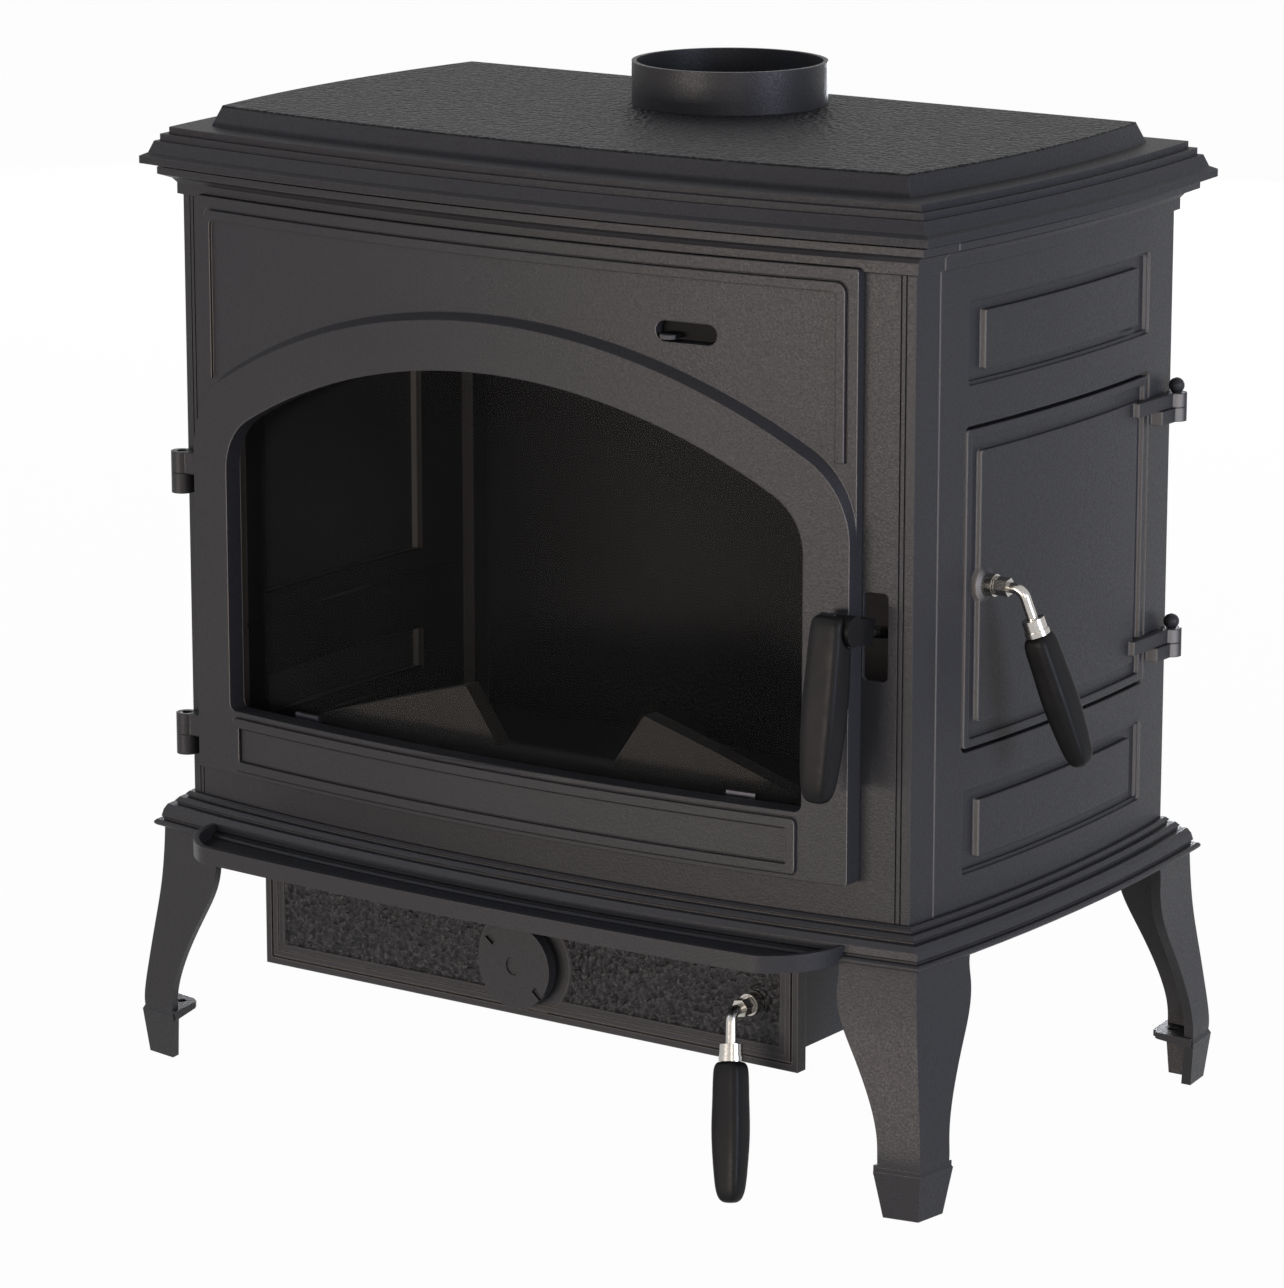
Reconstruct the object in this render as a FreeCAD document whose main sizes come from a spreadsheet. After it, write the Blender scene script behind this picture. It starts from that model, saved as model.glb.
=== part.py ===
"""A cast iron wood stove: a bowed firebox on four cabriole legs, with a glazed
front door, a side loading door, an ash door and their handles.

Lengths are millimetres. +Z is up, the front faces -Y and +X is on the right of
someone who stands before the stove. Sub-parts are drawn about the middle of the
firebox and moved by one shared placement to the middle of the whole outline.
"""
import FreeCAD, Part
import math
import os
import re
import Sketcher

V = FreeCAD.Vector
X_AXIS = V(1, 0, 0)
Y_AXIS = V(0, 1, 0)
Z_AXIS = V(0, 0, 1)

# Driving dimensions

SIZES = {
    # where the middle of the firebox stands in the frame
    "frame_x": -25.0,
    "frame_y": -12.6,
    # fits and overruns
    "gap": 0.4,
    "running_fit": 0.06,
    "overrun": 5.0,
    # firebox walls: half width, front and back corners, and how far each wall bows out
    "body_half_w": 329.6,
    "body_front_y": -136.7,
    "body_back_y": 225.5,
    "front_bow": 28.5,
    "side_bow": 12.0,
    "wall": 10.0,
    "wall_h": 470.0,
    "front_depth": 25.7,
    "seam_gap": 0.8,
    # mouldings under the top plate
    "band_out": 3.3,
    "band_foot_h": 1.2,
    "band_h": 8.5,
    "cove_out": 6.0,
    "cove_h": 3.5,
    "strip_out": 14.0,
    "strip_foot_h": 3.3,
    "strip_h": 5.5,
    "neck_out": 10.0,
    "neck_h": 3.0,
    # top plate
    "lip_out": 23.5,
    "lip_h": 5.7,
    "ogee_low_out": 18.6,
    "ogee_foot_h": 2.5,
    "ogee_top_out": 15.3,
    "ogee_h": 8.7,
    "step_one_out": 12.0,
    "step_one_h": 5.2,
    "step_two_out": 7.0,
    "step_two_h": 5.1,
    "panel_foot_out": -16.0,
    "panel_edge_out": -22.0,
    "panel_h": 15.3,
    "panel_front_bow": 23.4,
    "panel_side_bow": 13.2,
    "plate_wall": 9.0,
    "plate_rim": 24.0,
    # flue collar
    "flue_in": 106.3,
    "collar_r": 75.0,
    "collar_wall": 3.5,
    "collar_h": 32.6,
    "collar_seat_in": 13.0,
    "collar_seat": 5.0,
    "collar_bolt_r": 3.0,
    "collar_bolt_head_r": 4.5,
    "collar_bolt_head": 4.0,
    # base plate
    "plinth_bottom": 184.3,
    "plinth_lip_out": 23.0,
    "plinth_lip_soft": 1.4,
    "plinth_lip_h": 4.5,
    "plinth_groove": 1.3,
    "bead_three_out": 18.8,
    "bead_three_foot_h": 2.5,
    "bead_three_mid_out": 17.6,
    "bead_three_low_h": 5.3,
    "bead_three_top_out": 15.3,
    "bead_three_top_h": 4.2,
    "bead_two_out": 11.2,
    "bead_two_low_h": 2.4,
    "bead_two_top_out": 8.6,
    "bead_two_top_h": 3.0,
    "bead_one_out": 5.2,
    "bead_one_low_h": 2.2,
    "bead_one_top_out": 3.0,
    "bead_one_top_h": 2.1,
    "base_floor": 8.0,
    "base_rim": 40.0,
    # ash lip
    "ash_lip_out": 66.6,
    "ash_lip_in": 38.6,
    "ash_lip_run": 72.0,
    "ash_lip_rise": 11.6,
    "ash_lip_drop": 1.3,
    "ash_lip_floor": 3.0,
    "ash_lip_rim": 4.5,
    # legs
    "leg_wall": 8.0,
    "leg_front_turn": 9.9,
    "leg_side_turn": 7.6,
    "leg_w": 61.0,
    "leg_out": 17.0,
    "leg_splay": 14.5,
    "ankle_z": 38.0,
    "ridge_z": 35.0,
    "foot_out": 27.8,
    "foot_w": 27.5,
    "lug_reach": 38.0,
    "lug_inset": 2.0,
    "lug_round": 7.0,
    "lug_rise": 1.5,
    "lug_thick": 11.0,
    "lug_tip_thick": 4.4,
    "lug_hole_r": 4.0,
    "lug_hole_in": 21.5,
    "crown_thick": 8.0,
    "leg_bolt_r": 5.0,
    "leg_bolt_in": 22.4,
    "leg_bolt_head_r": 9.0,
    "leg_bolt_head": 6.0,
    # front opening and latch slot
    "opening_in": 15.0,
    "opening_in_low": 13.5,
    "opening_in_top": 16.0,
    "opening_corner": 20.0,
    "slot_in": 8.0,
    "slot_out": 11.0,
    "slot_drop": 43.5,
    "slot_rise": 21.0,
    "slot_corner": 4.0,
    "slot_lip": 2.5,
    "slot_relief": 6.0,
    "flute_w": 1.2,
    "flute_deep": 1.4,
    "flute_in": 11.1,
    "flute_pitch": 3.8,
    # front door
    "door_in_left": 22.6,
    "door_in_right": 38.6,
    "door_rise": 28.0,
    "door_over": 3.5,
    "door_corner": 3.0,
    "door_skin": 8.4,
    "door_relief": 17.0,
    "top_rail": 101.7,
    "arch_r": 482.0,
    "arch_band": 37.5,
    "arch_shoulder": 70.0,
    "jamb": 36.0,
    "bottom_rail": 50.5,
    "window_shoulder": 48.0,
    "window_corner": 6.0,
    "bead_w": 7.0,
    "bead_high": 2.2,
    "quirk_w": 1.0,
    "quirk_deep": 1.2,
    "arch_slope_w": 5.0,
    "bead_round": 8.0,
    "spandrel_in": 9.0,
    "spandrel_in_top": 10.0,
    "spandrel_drop": 37.3,
    "rail_in": 4.0,
    "rail_in_low": 4.5,
    "rail_in_top": 5.0,
    # window glass and its fixings
    "glass_lap": 11.0,
    "gasket": 2.4,
    "gasket_w": 9.0,
    "glass": 4.0,
    "clip": 3.0,
    "clip_w": 24.0,
    "clip_lap": 13.5,
    "clip_tail": 14.0,
    "clip_screw_r": 2.5,
    "clip_screw_head_r": 4.5,
    "clip_screw_head": 3.0,
    "seal_w": 7.0,
    "seal_deep": 6.0,
    "seal_inset": 2.0,
    # air slider in the door
    "air_slot_in": 160.0,
    "air_slot_l": 50.0,
    "air_slot_drop": 64.0,
    "air_slot_h": 15.0,
    "slider_half_l": 52.0,
    "slider_half_h": 14.0,
    "slider_thick": 2.5,
    "slider_play": 1.6,
    "slider_tab_w": 13.0,
    "slider_tab_h": 3.0,
    "slider_tab_out": 6.0,
    "slider_tab_drop": 5.0,
    "slider_start": 15.0,
    "guide_half_l": 80.0,
    "guide_rail": 5.0,
    "guide_thick": 3.0,
    # front hinges
    "hinge_out": 20.0,
    "hinge_fore": 10.8,
    "hinge_rise_low": 5.5,
    "hinge_rise": 207.3,
    "knuckle_r": 8.5,
    "hinge_pin_r": 4.0,
    "frame_knuckle": 15.5,
    "door_knuckle": 16.5,
    "pin_recess": 3.0,
    # front handle
    "handle_fore": 39.3,
    "handle_rise": 192.5,
    "handle_lug_w": 13.0,
    "handle_lug_r": 10.5,
    "handle_neck": 7.5,
    "handle_pin_r": 4.0,
    "hub_clear": 2.0,
    "front_hub_w": 14.0,
    "front_hub_r": 11.0,
    "hub_arm_w": 12.0,
    "hub_arm_l": 26.0,
    "hub_arm_h": 19.0,
    "tongue_r": 4.5,
    "tongue_l": 52.0,
    "tongue_tilt": 12.0,
    "tongue_ring_r": 5.6,
    "tongue_ring": 3.0,
    "front_grip_l": 134.0,
    "front_grip_w": 28.5,
    "front_grip_thick": 25.0,
    "front_grip_tilt": 8.0,
    # side loading door
    "side_in_front": 34.0,
    "side_in_back": 43.5,
    "side_rise": 118.5,
    "side_in_top": 23.9,
    "side_gap": 3.0,
    "side_skin": 8.0,
    "stop_lap": 14.0,
    "side_seal_w": 8.0,
    # sunk mouldings of the side panels
    "sink": 4.5,
    "sink_step": 2.2,
    "sink_step_w": 2.6,
    "field_corner": 1.0,
    "field_in": 20.0,
    "field_in_low": 10.0,
    "upper_rise": 32.2,
    "upper_h": 62.1,
    "lower_rise": 24.5,
    "lower_h": 62.5,
    "side_border": 6.0,
    "side_field_in": 17.0,
    "side_sink": 3.5,
    # side hinges
    "side_hinge_out": 10.4,
    "side_hinge_in": 8.5,
    "side_hinge_rise_low": 12.5,
    "side_hinge_spare": 51.3,
    "side_knuckle_r": 8.0,
    "side_pin_r": 3.5,
    "side_ball_r": 6.0,
    "side_ball_sink": 1.2,
    "side_lug": 10.5,
    "side_strap": 10.5,
    "strap_l": 24.0,
    "strap_thick": 7.0,
    # bent handles of the side and ash doors
    "boss_rise": 2.0,
    "boss_spread": 4.6,
    "boss_rim": 0.8,
    "bush_r": 8.2,
    "bush_face": 7.0,
    "bush_barrel_r": 6.6,
    "spindle_r": 4.0,
    "nut_r": 7.0,
    "nut_l": 11.0,
    "spindle_out": 29.0,
    "spindle_bend": 9.0,
    "shank_l": 23.0,
    "ferrule_l": 8.5,
    "ferrule_r": 8.4,
    "ferrule_foot": 4.0,
    "ferrule_foot_r": 9.1,
    "grip_l": 102.0,
    "grip_w": 25.0,
    "grip_thick": 21.5,
    "grip_round": 5.0,
    "handle_tilt": 16.0,
    "handle_hang": 11.0,
    "latch_l": 16.0,
    "latch_w": 12.0,
    "latch_thick": 5.0,
    "side_handle_in": 24.0,
    "side_handle_lift": 1.35,
    "ash_handle_in": 38.7,
    "ash_handle_rise": 46.8,
    # ash door and ash box
    "ash_door_half_w": 246.2,
    "ash_door_drop": 4.3,
    "ash_door_h": 90.8,
    "ash_door_fore": 17.3,
    "ash_door_skin": 8.0,
    "ash_edge": 5.2,
    "ash_groove": 1.6,
    "ash_bead": 4.6,
    "ash_bead_high": 2.6,
    "ash_ledge": 5.4,
    "ash_ledge_high": 1.2,
    "ash_seal": 2.4,
    "ash_seal_w": 8.0,
    "box_in": 16.2,
    "box_rise": 7.8,
    "box_rim": 10.0,
    "box_wall": 5.0,
    "box_spare": 10.0,
    "ash_hinge_in": 7.2,
    "ash_hinge_back": 17.0,
    "ash_hinge_rise_low": 14.8,
    "ash_hinge_rise": 44.0,
    "ash_knuckle_r": 5.5,
    "ash_pin_r": 2.5,
    "ash_knuckle": 12.0,
    # air dial on the ash door
    "dial_rise": 41.8,
    "dial_r": 32.6,
    "dial_thick": 9.0,
    "dial_hub_r": 12.0,
    "dial_hub": 3.0,
    "dial_dish_r": 7.2,
    "dial_dish": 1.6,
    "dial_notch_w": 5.0,
    "dial_notch_l": 9.0,
    "dial_notch_deep": 3.0,
    "dial_pad_r": 42.0,
    "dial_pad": 1.4,
    "dial_stem_r": 5.0,
    "dial_stem_l": 15.5,
    "dial_nut_r": 9.0,
    "dial_nut": 5.0,
    "air_hole_r": 6.0,
    "air_hole_pcr": 18.0,
    # inside the firebox
    "guard_in": 23.2,
    "guard_thick": 16.0,
    "guard_end": 39.6,
    "guard_h": 114.5,
    "grate_clear": 17.5,
    "grate_half_w": 95.0,
    "grate_l": 110.0,
    "grate_thick": 14.0,
    "grate_border": 14.0,
    "grate_bar": 10.0,
    "grate_slot": 12.0,
    "drop_lap": 12.0,
    "lining": 10.0,
    "lining_in_front": 26.0,
    "lining_in_back": 30.5,
    "lining_over": 9.5,
    "niche_front": 28.0,
    "niche_back": 50.5,
    "niche_rise": 144.5,
    "niche_h": 175.0,
    "sill_rise": 45.5,
    "sill_h": 33.0,
    "crease_w": 2.4,
    "crease_low": 32.5,
    "crease_rise": 123.5,
    "post_in": 26.6,
    "post_w": 20.0,
    "baffle_drop": 79.5,
    "baffle_thick": 10.0,
    "baffle_in": 71.0,
    "baffle_lap": 6.0,
    "ledge_reach": 51.6,
    "ledge_thick": 12.0,
    "ledge_l": 200.0,
    # ash pan
    "pan_play": 20.0,
    "pan_fore": 36.0,
    "pan_spare": 14.0,
    "pan_h": 52.0,
    "pan_wall": 2.0,
}

# Places that follow from the sizes

PLACES = {
    "reach": "2 * body_half_w",
    # heights of the base, the walls and the top, one on the other
    "plinth_lip_top": "plinth_bottom + plinth_lip_h",
    "bead_three_low": "plinth_lip_top + bead_three_foot_h",
    "bead_three_mid": "bead_three_low + bead_three_low_h",
    "bead_three_top": "bead_three_mid + bead_three_top_h",
    "bead_two_mid": "bead_three_top + bead_two_low_h",
    "bead_two_top": "bead_two_mid + bead_two_top_h",
    "bead_one_mid": "bead_two_top + bead_one_low_h",
    "body_bottom": "bead_one_mid + bead_one_top_h",
    "wall_top": "body_bottom + wall_h",
    "band_low": "wall_top + band_foot_h",
    "band_top": "band_low + band_h",
    "cove_top": "band_top + cove_h",
    "strip_low": "cove_top + strip_foot_h",
    "strip_top": "strip_low + strip_h",
    "body_top": "strip_top + neck_h",
    "lip_top": "body_top + lip_h",
    "ogee_low_z": "lip_top + ogee_foot_h",
    "ogee_top_z": "ogee_low_z + ogee_h",
    "step_one_top": "ogee_top_z + step_one_h",
    "plate_top": "step_one_top + step_two_h",
    "panel_top": "plate_top + panel_h",
    "collar_top": "panel_top + collar_h",
    "flue_y": "body_back_y - flue_in",
    "collar_seat_r": "collar_r - collar_seat_in",
    # base and legs
    "ash_lip_half_w": "body_half_w - ash_lip_in",
    "ash_lip_top": "plinth_bottom + ash_lip_rise",
    "ash_lip_bottom": "plinth_bottom - ash_lip_drop",
    "lug_top": "ankle_z + lug_rise",
    # front door, its opening and its handle
    "seam_y": "body_front_y + front_depth",
    "door_left": "-body_half_w + door_in_left",
    "door_right": "body_half_w - door_in_right",
    "door_low": "body_bottom + door_rise",
    "door_top": "wall_top + door_over",
    "opening_left": "door_left + opening_in",
    "opening_right": "door_right - opening_in",
    "opening_low": "door_low + opening_in_low",
    "opening_top": "door_top - opening_in_top",
    "arch_crown": "door_top - top_rail",
    "window_left": "door_left + jamb",
    "window_right": "door_right - jamb",
    "window_low": "door_low + bottom_rail",
    "spandrel_left": "door_left + spandrel_in",
    "spandrel_right": "door_right - spandrel_in",
    "spandrel_low": "arch_crown - spandrel_drop",
    "spandrel_top": "door_top - spandrel_in_top",
    "rail_left": "window_left + rail_in",
    "rail_right": "window_right - rail_in",
    "rail_low": "door_low + rail_in_low",
    "rail_top": "window_low - rail_in_top",
    "air_slot_left": "door_right - air_slot_in",
    "air_slot_right": "air_slot_left + air_slot_l",
    "air_slot_low": "door_top - air_slot_drop",
    "air_slot_top": "air_slot_low + air_slot_h",
    "hinge_x": "door_left - hinge_out",
    "hinge_y": "body_front_y - hinge_fore",
    "hinge_low_z": "door_low + hinge_rise_low",
    "handle_axis_y": "body_front_y - handle_fore",
    "handle_axis_z": "door_low + handle_rise",
    "front_hub_x": "door_right + hub_clear + front_hub_w / 2",
    "front_grip_x": "door_right",
    "slot_left": "front_hub_x - slot_in",
    "slot_right": "front_hub_x + slot_out",
    "slot_low": "handle_axis_z - slot_drop",
    "slot_top": "handle_axis_z + slot_rise",
    "flute_first_x": "body_half_w - flute_in",
    # side panels and side door
    "side_front": "seam_y + side_in_front",
    "side_back": "body_back_y - side_in_back",
    "side_low": "body_bottom + side_rise",
    "side_h": "wall_h - side_rise - upper_rise - upper_h - side_in_top",
    "side_top": "side_low + side_h",
    "upper_low": "side_top + upper_rise",
    "upper_top": "upper_low + upper_h",
    "lower_low": "body_bottom + lower_rise",
    "lower_top": "lower_low + lower_h",
    "side_hinge_x": "body_half_w + side_hinge_out",
    "side_hinge_y": "body_back_y - side_hinge_in",
    "side_hinge_low_z": "side_low + side_hinge_rise_low",
    "side_hinge_rise": "side_h - side_hinge_spare",
    "strap_from_y": "side_back - strap_l",
    "side_handle_y": "side_front + side_handle_in",
    "side_handle_z": "side_low + side_h / 2 + side_handle_lift",
    # inside the firebox
    "guard_y": "body_front_y + guard_in",
    "guard_half_w": "body_half_w - guard_end",
    "grate_front_y": "guard_y + guard_thick + grate_clear",
    "grate_back_y": "grate_front_y + grate_l",
    "lining_front_y": "seam_y + lining_in_front",
    "lining_back_y": "body_back_y - lining_in_back",
    "post_x": "body_half_w - post_in",
    "baffle_z": "wall_top - baffle_drop",
    "baffle_front_y": "seam_y + baffle_in",
    "ledge_low": "baffle_z - ledge_thick",
    "ledge_in_x": "body_half_w - ledge_reach",
    "baffle_half_w": "ledge_in_x + baffle_lap",
    # ash door, ash box and ash pan
    "ash_door_top": "plinth_bottom - ash_door_drop",
    "ash_door_low": "ash_door_top - ash_door_h",
    "ash_door_y": "body_front_y - ash_door_fore",
    "ash_handle_x": "ash_door_half_w - ash_handle_in",
    "ash_handle_z": "ash_door_low + ash_handle_rise",
    "dial_z": "ash_door_low + dial_rise",
    "ash_hinge_x": "-ash_door_half_w + ash_hinge_in",
    "ash_hinge_y": "ash_door_y + ash_hinge_back",
    "ash_hinge_low_z": "ash_door_low + ash_hinge_rise_low",
    "box_half_w": "ash_door_half_w - box_in",
    "box_low": "ash_door_low + box_rise",
    "box_back_y": "grate_back_y + box_spare",
    "pan_low": "box_low + box_rim",
    "pan_top": "pan_low + pan_h",
    "pan_half_w": "box_half_w - box_rim - pan_play",
    "pan_front_y": "ash_door_y + pan_fore",
    "pan_back_y": "box_back_y - pan_spare",
}

# Shares of the sizes that they follow

LEG_RISE_SHARES = (1.0, 0.86, 0.70, 0.55, 0.40, 0.25, 0.12, 0.0)
LEG_OUT_SHARES = (0.0, 0.05, 0.16, 0.33, 0.53, 0.72, 0.87, 0.9)
LEG_WIDTH_SHARES = (1.0, 1.01, 0.97, 0.83, 0.69, 0.585, 0.545, 0.54)
RIDGE_WIDTH_SHARE = 0.605
CORNER_SHARES = ((0.0, 1.0), (0.3, 0.3), (1.0, 0.0))
CROWN_SHARES = ((0.9, 0.0), (0.6, 0.6), (0.0, 0.9))
LIP_END_SHARES = ((0.845, 0.128), (0.875, 0.147), (0.902, 0.206), (0.962, 0.45), (1.0, 1.0))
GUARD_SHARES = ((1.0, 0.45), (0.834, 0.563), (0.734, 0.659), (0.5, 0.843), (0.283, 1.0), (0.179, 0.624))
GRIP_STATION_SHARES = (0.0, 0.02, 0.07, 0.25, 0.46, 0.66, 0.82, 0.93, 0.98, 1.0)
GRIP_GIRTH_SHARES = (0.70, 0.84, 0.92, 0.96, 1.0, 0.95, 0.86, 0.74, 0.58, 0.38)
CLIP_FOOT_SHARE = 0.764
CLIP_CROWN_SHARE = 0.38
DIAL_NOTCH_ANGLES = (40.0, 220.0)
AIR_HOLES = 4
COLLAR_BOLTS = 3
FLUTES = 2
NUT_SIDES = 6

doc = FreeCAD.newDocument("wood_stove")
sheet = doc.addObject("Spreadsheet::Sheet", "Sizes")
for row, (name, length) in enumerate(SIZES.items(), 1):
    sheet.set(f"A{row}", name)
    sheet.set(f"B{row}", str(length))
    sheet.setAlias(f"B{row}", name)
for row, (name, formula) in enumerate(PLACES.items(), len(SIZES) + 1):
    sheet.set(f"A{row}", name)
    sheet.set(f"B{row}", "=" + formula)
    sheet.setAlias(f"B{row}", name)
doc.recompute()

WORD = re.compile(r"[A-Za-z_]\w*")
SUB_PARTS = []


def bind(formula):
    """A formula in size names, as an expression on the sheet."""
    return WORD.sub(lambda word: "Sizes." + word.group(0), formula)


def size(formula):
    """The present value of a formula in size names."""
    return float(sheet.evalExpression(bind(formula)))


def settle(item):
    """Tie a finished sub-part to the shared placement and keep it."""
    item.setExpression("Placement.Base.x", bind("frame_x"))
    item.setExpression("Placement.Base.y", bind("frame_y"))
    SUB_PARTS.append(item)


def casting(label, shape):
    """Keep a shape that is cut from bowed shells or swept as one sub-part."""
    item = doc.addObject("Part::Feature", label)
    item.Label = label
    item.Shape = shape.removeSplitter()
    settle(item)
    return item


# Sketches whose every point is tied to the sheet

def new_body(label):
    body = doc.addObject("PartDesign::Body", label)
    body.Label = label
    return body


def sketch(body, plane, height="0"):
    """A sketch on one of the body's own planes, lifted by a formula."""
    drawing = body.newObject("Sketcher::SketchObject", body.Name + "_sketch")
    support = [item for item in body.Origin.OriginFeatures if item.Role == plane][0]
    drawing.AttachmentSupport = [(support, "")]
    drawing.MapMode = "FlatFace"
    drawing.setExpression("AttachmentOffset.Base.z", bind(height))
    return drawing


def pin_point(drawing, edge, end, across, up):
    """Hold one end of an edge at two formulas from the sketch's origin."""
    for kind, formula in (("DistanceX", across), ("DistanceY", up)):
        rule = Sketcher.Constraint(kind, -1, 1, edge, end, size(formula))
        index = drawing.addConstraint(rule)
        drawing.setExpression(f"Constraints[{index}]", bind(formula))


def polygon(drawing, corners):
    first = drawing.GeometryCount
    spots = [V(size(across), size(up), 0) for across, up in corners]
    for start, stop in zip(spots, spots[1:] + spots[:1]):
        drawing.addGeometry(Part.LineSegment(start, stop))
    for turn, (across, up) in enumerate(corners):
        after = first + (turn + 1) % len(corners)
        drawing.addConstraint(Sketcher.Constraint("Coincident", first + turn, 2, after, 1))
        pin_point(drawing, first + turn, 1, across, up)


def rectangle(drawing, left, low, right, top):
    polygon(drawing, [(left, low), (right, low), (right, top), (left, top)])


def circle(drawing, across, up, radius):
    spot = V(size(across), size(up), 0)
    ring = drawing.addGeometry(Part.Circle(spot, Z_AXIS, size(radius)))
    pin_point(drawing, ring, 3, across, up)
    index = drawing.addConstraint(Sketcher.Constraint("Radius", ring, size(radius)))
    drawing.setExpression(f"Constraints[{index}]", bind(radius))


def pad(body, drawing, length, reverse=False):
    step = body.newObject("PartDesign::Pad", body.Name + "_pad")
    step.Profile = drawing
    step.Reversed = reverse
    step.setExpression("Length", bind(length))
    return step


def pocket(body, drawing, length, reverse=False):
    step = body.newObject("PartDesign::Pocket", body.Name + "_pocket")
    step.Profile = drawing
    step.Reversed = reverse
    step.setExpression("Length", bind(length))
    return step


def turn(body, drawing):
    """Revolve a sketch on the XZ plane about the body's own Z axis."""
    step = body.newObject("PartDesign::Revolution", body.Name + "_turn")
    step.Profile = drawing
    step.ReferenceAxis = (drawing, ["V_Axis"])
    step.Angle = 360.0
    return step


# Bowed outlines and shells

def outline(out, height, front_bow="front_bow", side_bow="side_bow"):
    """The bowed plan of the firebox, grown by out, as a wire at a height."""
    half = size("body_half_w") + out
    front = size("body_front_y") - out
    back = size("body_back_y") + out
    middle = (front + back) / 2
    flank = half + size(side_bow)
    left_front, right_front = V(-half, front, height), V(half, front, height)
    left_back, right_back = V(-half, back, height), V(half, back, height)
    return Part.Wire([
        Part.Arc(left_front, V(0, front - size(front_bow), height), right_front).toShape(),
        Part.Arc(right_front, V(flank, middle, height), right_back).toShape(),
        Part.LineSegment(right_back, left_back).toShape(),
        Part.Arc(left_back, V(-flank, middle, height), left_front).toShape(),
    ])


def moulded(profile, **bows):
    """A solid whose edge follows (out, height) pairs from the bottom up."""
    layers = []
    for (low_out, low), (top_out, top) in zip(profile, profile[1:]):
        if top > low:
            rings = [outline(low_out, low, **bows), outline(top_out, top, **bows)]
            layers.append(Part.makeLoft(rings, True, True))
    return layers[0].multiFuse(layers[1:]).removeSplitter()


def bow_radius(half_chord, bow):
    return (half_chord ** 2 + bow ** 2) / (2 * bow)


FRONT_R = bow_radius(size("body_half_w"), size("front_bow"))
FRONT_CENTRE = V(0, size("body_front_y") - size("front_bow") + FRONT_R, 0)
SIDE_MIDDLE = size("(body_front_y + body_back_y) / 2")
SIDE_R = bow_radius(size("(body_back_y - body_front_y) / 2"), size("side_bow"))
SIDE_CENTRE = V(size("body_half_w + side_bow") - SIDE_R, SIDE_MIDDLE, 0)


def front_y(across, out=0):
    """The Y of the front surface, moved outwards by out, at one X."""
    return FRONT_CENTRE.y - math.sqrt((FRONT_R + out) ** 2 - across ** 2)


def side_x(along, out=0):
    """The X of the right side surface, moved outwards by out, at one Y."""
    return SIDE_CENTRE.x + math.sqrt((SIDE_R + out) ** 2 - (along - SIDE_CENTRE.y) ** 2)


def shell_sector(centre, facing, half_chord, inner, outer):
    """A tall slab between two arcs about a vertical axis."""
    sideways = V(-facing.y, facing.x, 0)
    half_angle = math.asin(half_chord / inner)
    def spot(radius, angle):
        return centre + facing * (radius * math.cos(angle)) + sideways * (radius * math.sin(angle))
    arcs = [[spot(radius, angle) for angle in (-half_angle, 0, half_angle)] for radius in (inner, outer)]
    edges = [
        Part.Arc(*arcs[0]).toShape(),
        Part.LineSegment(arcs[0][2], arcs[1][2]).toShape(),
        Part.Arc(*arcs[1][::-1]).toShape(),
        Part.LineSegment(arcs[1][0], arcs[0][0]).toShape(),
    ]
    return Part.Face(Part.Wire(edges)).extrude(V(0, 0, size("collar_top")))


def pierced(wire, holes):
    """A flat face with holes in it."""
    face = Part.Face(wire)
    for hole in holes:
        face = face.cut(Part.Face(hole))
    return face


def front_layer(wire, inner_out, outer_out, *holes):
    """A prism of a drawing in XZ, kept between two offsets of the front surface."""
    half_chord = size("body_half_w + wall")
    slab = shell_sector(FRONT_CENTRE, -Y_AXIS, half_chord, FRONT_R + inner_out, FRONT_R + outer_out)
    prism = pierced(wire, holes).extrude(V(0, -size("reach"), 0))
    return prism.common(slab)


def side_layer(wire, inner_out, outer_out, *holes):
    """A prism of a drawing in YZ, kept between two offsets of the right side."""
    half_chord = size("(body_back_y - body_front_y) / 2 + wall")
    slab = shell_sector(SIDE_CENTRE, X_AXIS, half_chord, SIDE_R + inner_out, SIDE_R + outer_out)
    prism = pierced(wire, holes).extrude(V(size("reach"), 0, 0))
    return prism.common(slab)


def on_front(across, up):
    return V(across, 0, up)


def on_side(along, up):
    return V(0, along, up)


def rounded(place, left, low, right, top, radius):
    """A rectangle with round corners, drawn through a placing function."""
    bulge = radius * (1 - math.sqrt(0.5))
    corners = [
        ((right - radius, low), (right - bulge, low + bulge), (right, low + radius)),
        ((right, top - radius), (right - bulge, top - bulge), (right - radius, top)),
        ((left + radius, top), (left + bulge, top - bulge), (left, top - radius)),
        ((left, low + radius), (left + bulge, low + bulge), (left + radius, low)),
    ]
    edges = []
    for corner, after in zip(corners, corners[1:] + corners[:1]):
        edges.append(Part.Arc(*[place(*spot) for spot in corner]).toShape())
        start, stop = place(*corner[2]), place(*after[0])
        if start.distanceToPoint(stop) > size("running_fit"):
            edges.append(Part.LineSegment(start, stop).toShape())
    return Part.Wire(edges)


def box(left, front, low, right, back, top):
    return Part.makeBox(right - left, back - front, top - low, V(left, front, low))


def cylinder(radius, length, spot, along):
    return Part.makeCylinder(radius, length, spot, along)


def fuse(first, *others):
    return first.multiFuse(list(others)).removeSplitter()


# Body ring: one moulded wall that the front, side and back castings are parted from

BODY_PROFILE = [
    (0, size("body_bottom")),
    (0, size("wall_top")),
    (size("band_out"), size("band_low")),
    (size("band_out"), size("band_top")),
    (size("cove_out"), size("cove_top")),
    (size("strip_out"), size("strip_low")),
    (size("strip_out"), size("strip_top")),
    (size("neck_out"), size("strip_top")),
    (size("neck_out"), size("body_top")),
]


def body_ring():
    inside = [(-size("wall"), size("body_bottom")), (-size("wall"), size("body_top"))]
    return moulded(BODY_PROFILE).cut(moulded(inside))


def part_of_ring(ring, left, front, right, back):
    return ring.common(box(left, front, 0, right, back, size("collar_top")))


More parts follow.
